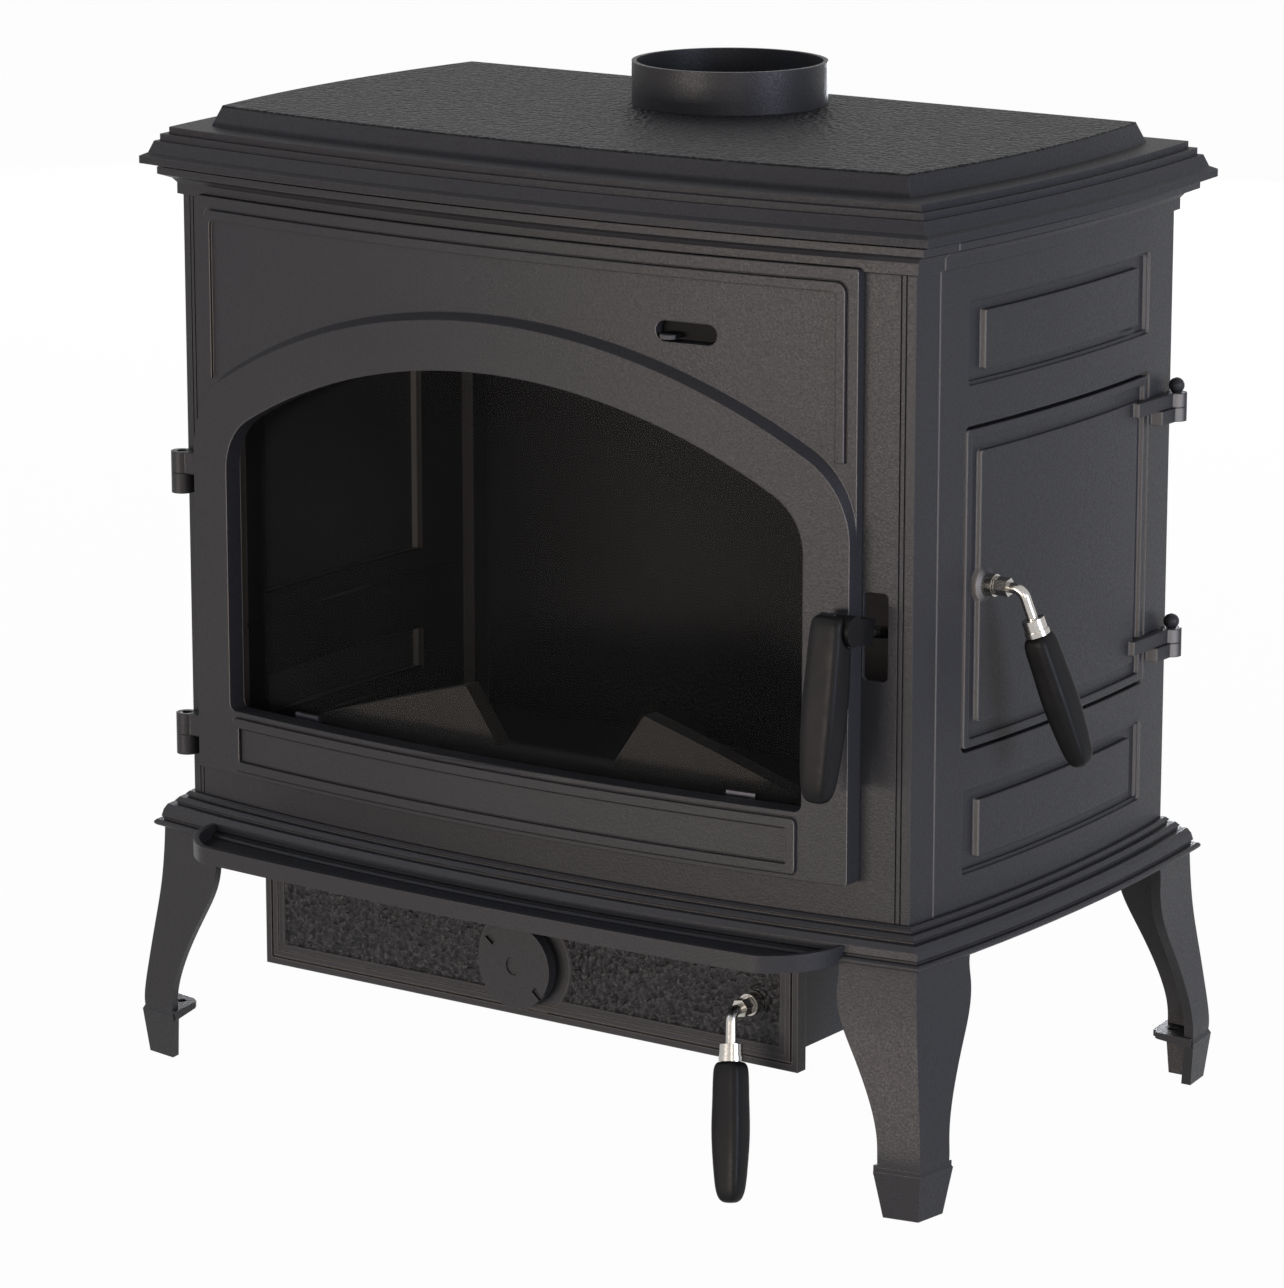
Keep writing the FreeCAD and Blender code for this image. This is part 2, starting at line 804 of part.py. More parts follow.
# Front frame

def door_outline(grow=0):
    return rounded(on_front, size("door_left") - grow, size("door_low") - grow,
                   size("door_right") + grow, size("door_top") + grow, size("door_corner"))


def opening_outline(inset=0):
    return rounded(on_front, size("opening_left") + inset, size("opening_low") + inset,
                   size("opening_right") - inset, size("opening_top") - inset,
                   size("opening_corner") - inset)


def front_knuckle(low, height):
    """A hinge knuckle that is bored for the pin, at a height."""
    spot = V(size("hinge_x"), size("hinge_y"), low)
    return cylinder(size("knuckle_r"), height, spot, Z_AXIS)


def hinge_heights():
    return [size("hinge_low_z"), size("hinge_low_z + hinge_rise")]


def pin_bore(low, height, radius):
    return cylinder(radius, height, V(size("hinge_x"), size("hinge_y"), low), Z_AXIS)


def front_frame(ring):
    reach = size("reach")
    frame = part_of_ring(ring, -reach, -reach, reach, size("seam_y"))
    deep = -size("wall + overrun")
    cuts = [front_layer(opening_outline(), deep, size("strip_out"))]
    cuts.append(front_layer(door_outline(size("gap")), 0, size("strip_out")))
    slot = rounded(on_front, size("slot_left"), size("slot_low"), size("slot_right"),
                   size("slot_top"), size("slot_corner"))
    cuts.append(front_layer(slot, deep, size("overrun")))
    spare = size("slot_relief")
    relief = rounded(on_front, size("slot_left") - spare, size("slot_low") - spare,
                     size("slot_right") + spare, size("slot_top") + spare, size("slot_corner"))
    cuts.append(front_layer(relief, deep, -size("slot_lip")))
    for side in (-1, 1):
        for count in range(FLUTES):
            middle = side * size(f"flute_first_x + {count} * flute_pitch")
            line = box(middle - size("flute_w / 2"), -reach, size("body_bottom"),
                       middle + size("flute_w / 2"), front_y(middle) + size("flute_deep"),
                       size("wall_top"))
            cuts.append(line)
    frame = frame.cut(Part.makeCompound(cuts))
    bosses = []
    for low in hinge_heights():
        knuckle = front_knuckle(low, size("frame_knuckle"))
        web = box(size("hinge_x - knuckle_r / 2"), size("hinge_y"), low,
                  size("hinge_x + knuckle_r"), size("body_front_y + wall / 2"),
                  low + size("frame_knuckle"))
        bosses.append(fuse(knuckle, web).cut(pin_bore(low, size("frame_knuckle"), size("hinge_pin_r"))))
    return frame.cut(Part.makeCompound([
        pin_bore(low, size("frame_knuckle"), size("hinge_pin_r")) for low in hinge_heights()
    ])).multiFuse(bosses)


def front_hinge_pins():
    pins = []
    for low in hinge_heights():
        top = low + size("frame_knuckle + gap + door_knuckle - pin_recess")
        pins.append(pin_bore(low, top - low, size("hinge_pin_r")))
    return Part.makeCompound(pins)


# Side panels

def sunk_panel(low, top, inset):
    """The sunk border round one raised field of a side panel."""
    front, back = size("side_front"), size("side_back")
    soft = size("sink_step_w")
    step = rounded(on_side, front, low, back, top, soft)
    floor = rounded(on_side, front + soft, low + soft, back - soft, top - soft, soft)
    across = size("field_in")
    field = rounded(on_side, front + across, low + inset, back - across, top - inset,
                    size("field_corner"))
    rim = side_layer(step, -size("sink_step"), size("overrun"), floor)
    deep = side_layer(floor, -size("sink"), size("overrun"), field)
    return rim.fuse(deep)


def side_opening(grow):
    return rounded(on_side, size("side_front") - grow, size("side_low") - grow,
                   size("side_back") + grow, size("side_top") + grow, size("sink_step_w") + max(grow, 0))


def side_hinge_heights():
    return [size("side_hinge_low_z"), size("side_hinge_low_z + side_hinge_rise")]


def side_knuckle(low, height):
    spot = V(size("side_hinge_x"), size("side_hinge_y"), low)
    return cylinder(size("side_knuckle_r"), height, spot, Z_AXIS)


def side_pin_hole(low, height, radius):
    return cylinder(radius, height, V(size("side_hinge_x"), size("side_hinge_y"), low), Z_AXIS)


def side_panel(ring):
    reach = size("reach")
    panel = part_of_ring(ring, 0, size("seam_y + seam_gap"), reach, reach)
    panel = panel.cut(box(0, size("body_back_y - wall - seam_gap"), 0,
                          size("body_half_w - wall"), reach, size("collar_top")))
    upper = sunk_panel(size("upper_low"), size("upper_top"), size("field_in_low"))
    lower = sunk_panel(size("lower_low"), size("lower_top"), size("field_in_low"))
    ledge_y = size("baffle_front_y")
    ledge = box(size("ledge_in_x"), ledge_y, size("ledge_low"), side_x(ledge_y) - size("wall / 2"),
                ledge_y + size("ledge_l"), size("baffle_z"))
    post_y = size("body_back_y - wall - seam_gap")
    post = box(size("post_x"), post_y - size("post_w"), size("body_bottom"),
               side_x(post_y) - size("wall / 2"), post_y, size("body_top"))
    return fuse(panel.cut(upper.fuse(lower)), ledge, post)


def side_lining():
    """The cast lining of the closed side, with two niches and two creases."""
    front, back = size("lining_front_y"), size("lining_back_y")
    low, top = size("body_bottom"), size("wall_top + lining_over")
    inner, outer = -size("wall + lining"), -size("wall / 2")
    def patch(front_in, back_in, rise, height):
        return rounded(on_side, front + front_in, low + rise, back - back_in, low + rise + height,
                       size("field_corner"))
    sheet_wire = rounded(on_side, front, low, back, top, size("running_fit"))
    layer = side_layer(sheet_wire, inner, outer)
    niche = patch(size("niche_front"), size("niche_back"), size("niche_rise"), size("niche_h"))
    sill = patch(size("niche_front"), size("niche_back"), size("sill_rise"), size("sill_h"))
    cuts = [side_layer(wire, inner - size("overrun"), -size("wall")) for wire in (niche, sill)]
    for rise in (size("crease_low"), size("crease_rise")):
        line = patch(-size("overrun"), -size("overrun"), rise, size("crease_w"))
        cuts.append(side_layer(line, inner - size("overrun"), inner + size("crease_w / 2")))
    return layer.cut(Part.makeCompound(cuts))


def side_panel_right(ring):
    panel = side_panel(ring)
    deep = -size("wall + overrun")
    panel = panel.cut(side_layer(side_opening(size("side_gap")), deep, size("overrun")))
    stop = side_layer(side_opening(size("stop_lap")), -size("wall + stop_lap / 2"), -size("wall"),
                      side_opening(-size("stop_lap")))
    lugs = []
    for low in side_hinge_heights():
        height = size("side_lug")
        arm_from = size("side_back + side_gap + overrun")
        arm = box(side_x(arm_from) - size("wall / 2"), arm_from, low,
                  size("side_hinge_x + strap_thick / 2"), size("side_hinge_y"), low + height)
        lug = fuse(side_knuckle(low, height), arm)
        lugs.append(lug.cut(side_pin_hole(low, height, size("side_pin_r"))))
    holes = [side_pin_hole(low, size("side_lug"), size("side_pin_r")) for low in side_hinge_heights()]
    return panel.cut(Part.makeCompound(holes)).multiFuse([stop] + lugs)


def side_panel_left(ring):
    middle = sunk_panel(size("side_low"), size("side_top"), size("field_in"))
    return fuse(side_panel(ring).cut(middle), side_lining()).mirror(V(), X_AXIS)


def side_hinge_pins():
    pins = []
    for low in side_hinge_heights():
        rise = size("side_lug + gap + side_strap + gap")
        ball = Part.makeSphere(size("side_ball_r"), V(size("side_hinge_x"), size("side_hinge_y"),
                                                      low + rise + size("side_ball_r - side_ball_sink")))
        ball = ball.cut(side_pin_hole(low, rise, size("side_knuckle_r")))
        pins.append(fuse(side_pin_hole(low, rise + size("side_ball_r"), size("side_pin_r")), ball))
    return Part.makeCompound(pins)


def back_panel():
    half = size("body_half_w - wall - seam_gap")
    return box(-half, size("body_back_y - wall"), size("body_bottom"),
               half, size("body_back_y"), size("body_top"))


# Top plate and flue collar

def top_plate():
    lip = size("lip_out")
    profile = [
        (lip, size("body_top")),
        (lip, size("lip_top")),
        (size("ogee_low_out"), size("ogee_low_z")),
        (size("ogee_top_out"), size("ogee_top_z")),
        (size("step_one_out"), size("ogee_top_z")),
        (size("step_one_out"), size("step_one_top")),
        (size("step_two_out"), size("step_one_top")),
        (size("step_two_out"), size("plate_top")),
    ]
    bows = {"front_bow": "panel_front_bow", "side_bow": "panel_side_bow"}
    panel = moulded([(size("panel_foot_out"), size("plate_top")),
                     (size("panel_edge_out"), size("panel_top"))], **bows)
    hollow_out = -size("plate_rim")
    hollow = moulded([(hollow_out, size("body_top")), (hollow_out, size("plate_top - plate_wall"))])
    raised_out = size("panel_edge_out - plate_wall - plate_rim / 2")
    raised = moulded([(raised_out, size("body_top")), (raised_out, size("panel_top - plate_wall"))], **bows)
    plate = fuse(moulded(profile), panel).cut(hollow.fuse(raised))
    flue = cylinder(size("collar_seat_r"), size("collar_top"), V(0, size("flue_y"), 0), Z_AXIS)
    bolts = [cylinder(size("collar_bolt_r"), size("collar_top"), V(spot.x, spot.y, 0), Z_AXIS)
             for spot in collar_bolt_spots()]
    return plate.cut(Part.makeCompound([flue] + bolts))


def collar_bolt_spots():
    ring = size("(collar_seat_r + collar_r - collar_wall) / 2")
    spots = []
    for count in range(COLLAR_BOLTS):
        angle = 2 * math.pi * count / COLLAR_BOLTS + math.pi / 2
        spots.append(V(ring * math.cos(angle), size("flue_y") + ring * math.sin(angle), size("panel_top")))
    return spots


def flue_collar():
    body = new_body("flue_collar")
    drawing = sketch(body, "XZ_Plane")
    polygon(drawing, [
        ("collar_seat_r", "panel_top"),
        ("collar_r", "panel_top"),
        ("collar_r", "collar_top"),
        ("collar_r - collar_wall", "collar_top"),
        ("collar_r - collar_wall", "panel_top + collar_seat"),
        ("collar_seat_r", "panel_top + collar_seat"),
    ])
    turn(body, drawing)
    holes = sketch(body, "XY_Plane", "panel_top + collar_seat")
    for spot in collar_bolt_spots():
        angle = math.degrees(math.atan2(spot.y - size("flue_y"), spot.x))
        ring = "(collar_seat_r + collar_r - collar_wall) / 2"
        circle(holes, f"{ring} * {math.cos(math.radians(angle)):.6f}",
               f"{ring} * {math.sin(math.radians(angle)):.6f}", "collar_bolt_r")
    pocket(body, holes, "collar_seat")
    settle(body)
    body.setExpression("Placement.Base.y", bind("frame_y + flue_y"))


def collar_bolts():
    bolts = []
    for spot in collar_bolt_spots():
        seat = spot + V(0, 0, size("collar_seat"))
        shank_l = size("collar_seat + plate_wall")
        head = cylinder(size("collar_bolt_head_r"), size("collar_bolt_head"), seat, Z_AXIS)
        bolts.append(fuse(head, cylinder(size("collar_bolt_r"), shank_l, seat, -Z_AXIS)))
    return Part.makeCompound(bolts)


# Base plate and ash lip

def base_plate():
    lip, soft, groove = size("plinth_lip_out"), size("plinth_lip_soft"), size("plinth_groove")
    profile = [
        (lip - soft, size("plinth_bottom")),
        (lip, size("plinth_bottom") + soft),
        (lip, size("plinth_lip_top") - soft),
        (lip - soft, size("plinth_lip_top")),
        (size("bead_three_out") - groove, size("plinth_lip_top")),
        (size("bead_three_out") - groove, size("plinth_lip_top") + groove),
        (size("bead_three_out"), size("bead_three_low")),
        (size("bead_three_mid_out"), size("bead_three_mid")),
        (size("bead_three_top_out"), size("bead_three_top")),
        (size("bead_two_out") - groove, size("bead_three_top")),
        (size("bead_two_out") - groove, size("bead_three_top") + groove),
        (size("bead_two_out"), size("bead_two_mid")),
        (size("bead_two_top_out"), size("bead_two_top")),
        (size("bead_one_out") - groove, size("bead_two_top")),
        (size("bead_one_out") - groove, size("bead_two_top") + groove),
        (size("bead_one_out"), size("bead_one_mid")),
        (size("bead_one_top_out"), size("body_bottom")),
    ]
    plate = moulded(profile)
    hollow_out = size("plinth_lip_out - base_rim")
    hollow = moulded([(hollow_out, size("plinth_bottom")),
                      (hollow_out, size("body_bottom - base_floor"))])
    lap = size("drop_lap")
    drop = box(-size("grate_half_w") + lap, size("grate_front_y") + lap, 0,
               size("grate_half_w") - lap, size("grate_back_y") - lap, size("collar_top"))
    bolts = [cylinder(size("leg_bolt_r"), size("body_bottom"), V(spot.x, spot.y, 0), Z_AXIS)
             for spot in leg_bolt_spots()]
    return plate.cut(Part.makeCompound([hollow, drop] + bolts))


def lip_plan(inset, height):
    """The plan of the ash lip, less an inset, closed behind the plinth's edge."""
    half = size("ash_lip_half_w")
    middle_y = front_y(0, size("ash_lip_out"))
    run = size("ash_lip_run")
    ends = [V(half * across, middle_y + run * back, height) for across, back in LIP_END_SHARES]
    pulled = []
    for index, spot in enumerate(ends):
        before, after = ends[max(index - 1, 0)], ends[min(index + 1, len(ends) - 1)]
        along = (after - before).normalize()
        pulled.append(spot + V(-along.y, along.x, 0) * inset)
    back_y = front_y(half) + size("overrun")
    def other(spot):
        return V(-spot.x, spot.y, spot.z)
    first, bend, start, swell, last = pulled
    heel = V(last.x, back_y, height)
    crown = V(0, middle_y + inset, height)
    return Part.Wire([
        Part.Arc(other(first), crown, first).toShape(),
        Part.Arc(first, bend, start).toShape(),
        Part.Arc(start, swell, last).toShape(),
        Part.LineSegment(last, heel).toShape(),
        Part.LineSegment(heel, other(heel)).toShape(),
        Part.LineSegment(other(heel), other(last)).toShape(),
        Part.Arc(other(last), other(swell), other(start)).toShape(),
        Part.Arc(other(start), other(bend), other(first)).toShape(),
    ])


def ash_lip():
    low, top = size("ash_lip_bottom"), size("ash_lip_top")
    outer = Part.Face(lip_plan(0, low)).extrude(V(0, 0, top - low))
    trough_low = low + size("ash_lip_floor")
    trough = Part.Face(lip_plan(size("ash_lip_rim"), trough_low)).extrude(V(0, 0, top - low))
    bulk = moulded([(size("plinth_lip_out"), 0), (size("plinth_lip_out"), size("plinth_lip_top")),
                    (size("bead_three_out"), size("plinth_lip_top")),
                    (size("bead_three_out"), size("body_bottom"))])
    return outer.cut(trough).cut(bulk)


# Legs

def leg_levels():
    """Height, outward offset and face width of each section, from the top down."""
    top, ankle = size("plinth_bottom"), size("ankle_z")
    levels = []
    for rise, out, width in zip(LEG_RISE_SHARES, LEG_OUT_SHARES, LEG_WIDTH_SHARES):
        levels.append((ankle + (top - ankle) * rise, size("leg_out") + size("leg_splay") * out,
                       size("leg_w") * width))
    ridge = (size("ridge_z"), size("leg_out + leg_splay"), size("leg_w") * RIDGE_WIDTH_SHARE)
    return levels, ridge, (0, size("foot_out"), size("foot_w"))


def leg_directions(rear):
    """Unit vectors along the two faces of a right-hand leg, away from its corner."""
    face = 0 if rear else math.radians(size("leg_front_turn"))
    flank = math.radians(size("leg_side_turn"))
    along_face = V(-math.cos(face), -math.sin(face), 0)
    along_flank = V(math.sin(flank), math.cos(flank), 0)
    if rear:
        along_flank.y = -along_flank.y
    return along_face, along_flank


def leg_corner(out, rear):
    depth = size("body_back_y") + out if rear else size("body_front_y") - out
    return V(size("body_half_w") + out, depth, 0)


def leg_section(level, rear, wall):
    """An L of two walls round the corner of a leg."""
    height, out, width = level
    corner = leg_corner(out, rear) + V(0, 0, height)
    face, flank = leg_directions(rear)
    skew = wall / face.cross(flank).Length
    inner = corner + face * skew + flank * skew
    spots = [corner, corner + face * width, corner + face * width + flank * skew, inner,
             corner + flank * width + face * skew, corner + flank * width]
    return Part.makePolygon(spots + spots[:1])


def leg_bolt_spot(rear):
    """Where the bolt of a right-hand leg goes up into the base plate."""
    face, flank = leg_directions(rear)
    inward = size("leg_bolt_in")
    return leg_corner(size("leg_out"), rear) + face * inward + flank * inward


def leg_bolt_spots():
    spots = []
    for rear in (False, True):
        spot = leg_bolt_spot(rear)
        spots += [spot, V(-spot.x, spot.y, 0)]
    return spots


def leg(rear):
    wall = size("leg_wall")
    levels, ridge, sole = leg_levels()
    shank = Part.makeLoft([leg_section(level, rear, wall) for level in levels], True, False)
    ends = (levels[-1], ridge, sole)
    foot = Part.makeLoft([leg_section(level, rear, wall) for level in ends], True, True)
    crown_thick = size("crown_thick")
    crown_corner = leg_corner(size("leg_out"), rear) + V(0, 0, size("plinth_bottom") - crown_thick)
    crown = leg_shelf(rear, crown_corner, wall / 2, size("leg_w"), CROWN_SHARES, crown_thick)
    hole = cylinder(size("lug_hole_r"), size("lug_top + overrun"), leg_hole_spot(rear), Z_AXIS)
    bolt = cylinder(size("leg_bolt_r"), size("body_bottom"), leg_bolt_spot(rear), Z_AXIS)
    return fuse(shank, foot, crown, leg_lug(rear)).cut(hole.fuse(bolt))


def leg_shelf(rear, corner, inset, reach, shares, thick):
    """A flat shelf in the corner of a leg; shares of its reach give the free edge."""
    face, flank = leg_directions(rear)
    spots = [corner + (face + flank) * inset]
    for along, across in shares:
        spots.append(corner + face * max(reach * along, inset) + flank * max(reach * across, inset))
    return Part.Face(Part.makePolygon(spots + spots[:1])).extrude(V(0, 0, thick))


def leg_lug(rear):
    """The shelf that a floor screw goes through, thinner towards its round free corner."""
    face, flank = leg_directions(rear)
    reach, inset, soft = size("lug_reach"), size("lug_inset"), size("lug_round")
    corner = leg_corner(size("leg_out + leg_splay"), rear) + V(0, 0, size("lug_top"))
    plan = [(inset, inset), (reach, inset)]
    plan += [(reach - soft * along, reach - soft * across) for along, across in CORNER_SHARES]
    plan.append((inset, reach))
    upper, lower = [], []
    for along, across in plan:
        spot = corner + face * along + flank * across
        share = (along + across) / (2 * reach)
        depth = size("lug_thick") + size("lug_tip_thick - lug_thick") * share
        upper.append(spot)
        lower.append(spot - V(0, 0, depth))
    rings = [Part.makePolygon(ring + ring[:1]) for ring in (lower, upper)]
    return Part.makeLoft(rings, True, True)


def leg_hole_spot(rear):
    inward = size("lug_hole_in")
    return leg_corner(size("leg_out + leg_splay"), rear) + V(-inward, -inward if rear else inward, 0)


def leg_bolts():
    bolts = []
    for spot in leg_bolt_spots():
        seat = V(spot.x, spot.y, size("plinth_bottom - crown_thick"))
        head = cylinder(size("leg_bolt_head_r"), size("leg_bolt_head"), seat, -Z_AXIS)
        length = size("crown_thick + body_bottom - plinth_bottom")
        shank = cylinder(size("leg_bolt_r"), length, seat, Z_AXIS)
        bolts.append(fuse(head, shank))
    return Part.makeCompound(bolts)


# Front door

DOOR_MIDDLE = size("(door_left + door_right) / 2")


def arched(left, low, right, crown, radius, corner, shoulder):
    """A door light: straight jambs, a flat arch and round shoulders."""
    middle = (left + right) / 2
    half = (right - left) / 2
    centre_z = crown - radius
    shoulder_x = half - shoulder
    shoulder_z = centre_z + math.sqrt((radius - shoulder) ** 2 - shoulder_x ** 2)
    toward = math.atan2(shoulder_z - centre_z, shoulder_x)
    half_way = toward / 2
    def spot(across, up):
        return on_front(middle + across, up)
    def on_shoulder(side, angle):
        return spot(side * (shoulder_x + shoulder * math.cos(angle)), shoulder_z + shoulder * math.sin(angle))
    bulge = corner * (1 - math.sqrt(0.5))
    edges = [Part.Arc(on_shoulder(1, toward), spot(0, crown), on_shoulder(-1, toward)).toShape()]
    edges.append(Part.Arc(on_shoulder(-1, toward), on_shoulder(-1, half_way), on_shoulder(-1, 0)).toShape())
    edges.append(Part.LineSegment(on_shoulder(-1, 0), spot(-half, low + corner)).toShape())
    edges.append(Part.Arc(spot(-half, low + corner), spot(-half + bulge, low + bulge),
                          spot(-half + corner, low)).toShape())
    edges.append(Part.LineSegment(spot(-half + corner, low), spot(half - corner, low)).toShape())
    edges.append(Part.Arc(spot(half - corner, low), spot(half - bulge, low + bulge),
                          spot(half, low + corner)).toShape())
    edges.append(Part.LineSegment(spot(half, low + corner), on_shoulder(1, 0)).toShape())
    edges.append(Part.Arc(on_shoulder(1, 0), on_shoulder(1, half_way), on_shoulder(1, toward)).toShape())
    return Part.Wire(edges)


def window(grow=0):
    return arched(size("window_left") - grow, size("window_low") - grow, size("window_right") + grow,
                  size("arch_crown") + grow, size("arch_r") + grow, size("window_corner") + max(grow, 0),
                  size("window_shoulder") + grow)


def spandrel_bead():
    """The flat bead that frames the corners above the arch, open below."""
    high = size("spandrel_top")
    outer = rounded(on_front, size("spandrel_left"), size("door_low"), size("spandrel_right"),
                    high, size("bead_round"))
    inset = size("bead_w")
    inner = rounded(on_front, size("spandrel_left") + inset, size("door_low") + inset,
                    size("spandrel_right") - inset, high - inset, size("bead_round - bead_w / 2"))
    ring = front_layer(outer, size("door_skin - running_fit"), size("door_skin + bead_high"), inner)
    below = box(-size("reach"), -size("reach"), 0, size("reach"), 0, size("spandrel_low"))
    return ring.cut(below)


def quirks(left, low, right, top, radius, level):
    """The fine grooves cast along both edges of a bead on a raised level of the door."""
    grooves = []
    for edge in (0, size("bead_w + quirk_w")):
        far = edge - size("quirk_w")
        bend = max(radius - edge / 2, size("quirk_w"))
        outer = rounded(on_front, left + far, low + far, right - far, top - far, bend)
        inner = rounded(on_front, left + edge, low + edge, right - edge, top - edge, bend)
        grooves.append(front_layer(outer, level - size("quirk_deep"), level + size("overrun"), inner))
    return grooves


def spandrel_quirks():
    below = box(-size("reach"), -size("reach"), 0, size("reach"), 0, size("spandrel_low"))
    lines = quirks(size("spandrel_left"), size("door_low"), size("spandrel_right"), size("spandrel_top"),
                   size("bead_round"), size("door_skin"))
    return [line.cut(below) for line in lines]


def rail_quirks():
    return quirks(size("rail_left"), size("rail_low"), size("rail_right"), size("rail_top"),
                  size("bead_round / 2"), size("door_relief"))


def rail_bead():
    inset = size("bead_w")
    outer = rounded(on_front, size("rail_left"), size("rail_low"), size("rail_right"),
                    size("rail_top"), size("bead_round / 2"))
    inner = rounded(on_front, size("rail_left") + inset, size("rail_low") + inset,
                    size("rail_right") - inset, size("rail_top") - inset, size("bead_round / 2"))
    return front_layer(outer, size("door_relief - running_fit"), size("door_relief + bead_high"), inner)


def air_slot():
    radius = size("(air_slot_top - air_slot_low) / 2 - running_fit")
    return rounded(on_front, size("air_slot_left"), size("air_slot_low"), size("air_slot_right"),
                   size("air_slot_top"), radius)


def bowed_face(layer, out):
    """The face of a front layer that lies this far out from the bowed front."""
    def miss(face):
        return max(abs(corner.Y - front_y(corner.X, out)) for corner in face.Vertexes)
    return min(layer.Faces, key=miss)


def sloped_layer(foot, crest, inner_out, outer_out):
    """A raised layer whose walls slope from a wider foot to a narrower crest."""
    low = bowed_face(front_layer(foot, inner_out, outer_out), inner_out)
    high = bowed_face(front_layer(crest, inner_out, outer_out), outer_out)
    walls = []
    for edge in high.OuterWire.Edges:
        near = min(low.OuterWire.Edges, key=lambda other: (other.CenterOfMass - edge.CenterOfMass).Length)
        walls.append(Part.makeRuledSurface(edge, near))
    shell = Part.makeShell([low, high] + walls)
    shell.sewShape()
    return Part.makeSolid(shell)


def door_arch(grow):
    """The outline of the raised arch, its foot growing over the spandrels."""
    return arched(size("door_left"), size("door_low"), size("door_right"),
                  size("arch_crown + arch_band") + grow, size("arch_r + arch_band") + grow,
                  size("door_corner"), size("arch_shoulder"))


def handle_lug_x():
    """The two ends, along X, of the lug that carries the front handle."""
    right = size("door_right")
    return right - size("handle_lug_w"), right


def front_door():
    back = size("gap")
    skin = front_layer(door_outline(), back, size("door_skin"))
    relief = sloped_layer(door_arch(size("arch_slope_w")), door_arch(0),
                          size("door_skin - running_fit"), size("door_relief"))
    left, right = handle_lug_x()
    axis = V(left, size("handle_axis_y"), size("handle_axis_z"))
    round_end = cylinder(size("handle_lug_r"), right - left, axis, X_AXIS)
    root = box(left, axis.y, axis.z - size("handle_neck"), right,
               front_y(left, size("door_skin")), axis.z + size("handle_neck"))
    knuckles = []
    bores = [cylinder(size("handle_pin_r"), right - left, axis, X_AXIS)]
    for low in hinge_heights():
        knuckle_low = low + size("frame_knuckle + gap")
        height = size("door_knuckle")
        arm_y = front_y(size("door_left"), size("door_relief"))
        arm = box(size("hinge_x"), arm_y + size("overrun"), knuckle_low, size("door_left + door_corner"),
                  size("hinge_y + knuckle_r / 2"), knuckle_low + height)
        knuckles += [front_knuckle(knuckle_low, height), arm]
        bores.append(pin_bore(knuckle_low, height, size("hinge_pin_r + running_fit")))
    door = fuse(skin, relief, spandrel_bead(), rail_bead(), round_end, root, *knuckles)
    cuts = [front_layer(window(), -size("overrun"), size("door_relief + overrun")),
            front_layer(air_slot(), -size("overrun"), size("door_relief + overrun"))]
    cuts += spandrel_quirks() + rail_quirks()
    for spot in clip_spots():
        cuts.append(clip_screw_shank(spot))
    return door.cut(Part.makeCompound(cuts + bores))


def glazing_levels():
    """Offsets of the door's back, the gasket's back and the glass's back."""
    back = size("gap")
    return back, back - size("gasket"), back - size("gasket + glass")


def glass_gasket():
    back, rear = glazing_levels()[:2]
    outer = window(size("glass_lap"))
    return front_layer(outer, rear, back, window(size("glass_lap - gasket_w")))


def door_glass():
    front, rear = glazing_levels()[1:]
    return front_layer(window(size("glass_lap")), rear, front)


def clip_spots():
    """The screw of each clip on the door's back: (across, up, the way it points)."""
    middle = size("(window_left + window_right) / 2")
    half = size("(window_right - window_left) / 2")
    low = size("window_low - glass_lap - clip_tail / 2")
    spots = [(middle + side * half * CLIP_FOOT_SHARE, low, 1) for side in (-1, 1)]
    crown_r = size("arch_r + glass_lap")
    across = half * CLIP_CROWN_SHARE
    edge = size("arch_crown - arch_r") + math.sqrt(crown_r ** 2 - (across - size("clip_w / 2")) ** 2)
    return spots + [(middle + side * across, edge + size("clip_tail / 2"), -1) for side in (-1, 1)]


def door_back(across, up):
    """Placement of a piece on the door's bowed back: local -Y points out of the door."""
    angle = math.degrees(math.asin(across / FRONT_R))
    spot = V(across, front_y(across, size("gap")), up)
    return FreeCAD.Placement(spot, FreeCAD.Rotation(Z_AXIS, angle))


def clip_back():
    """How far behind the door the back of a clip stands."""
    return size("gasket + glass + running_fit + clip")


def clip_screw_shank(spot):
    across, up, _ = spot
    length = clip_back() + size("door_skin / 2")
    shank = cylinder(size("clip_screw_r"), length, V(0, clip_back(), 0), -Y_AXIS)
    return moved(shank, door_back(across, up))


def glass_clips():
    """Spring clips that hold the glass at its foot and under its crown."""
    half, behind = size("clip_w / 2"), clip_back()
    clips = []
    for spot in clip_spots():
        across, up, way = spot
        tail = -way * size("clip_screw_head_r")
        tip, heel = way * size("clip_tail / 2 + clip_lap"), way * size("clip_screw_r + running_fit")
        blade = box(-half, behind - size("clip"), min(tail, tip), half, behind, max(tail, tip))
        block = box(-half, size("running_fit"), min(tail, heel), half, behind, max(tail, heel))
        clip = moved(fuse(blade, block), door_back(across, up))
        clips.append(clip.cut(clip_screw_shank(spot)))
    return Part.makeCompound(clips)


def clip_screws():
    screws = []
    for spot in clip_spots():
        across, up, _ = spot
        head = cylinder(size("clip_screw_head_r"), size("clip_screw_head"), V(0, clip_back(), 0), Y_AXIS)
        screws.append(fuse(moved(head, door_back(across, up)), clip_screw_shank(spot)))
    return Part.makeCompound(screws)


def door_rope_seal():
    inset = size("seal_inset")
    ring = opening_outline(inset)
    return front_layer(ring, size("gap - seal_deep"), size("gap"), opening_outline(inset + size("seal_w")))


# Air slider in the door

def slider_frame():
    """Placement of the slider: its middle behind the slot, X along the slot."""
    return door_back(size("(air_slot_left + air_slot_right) / 2"), size("(air_slot_low + air_slot_top) / 2"))


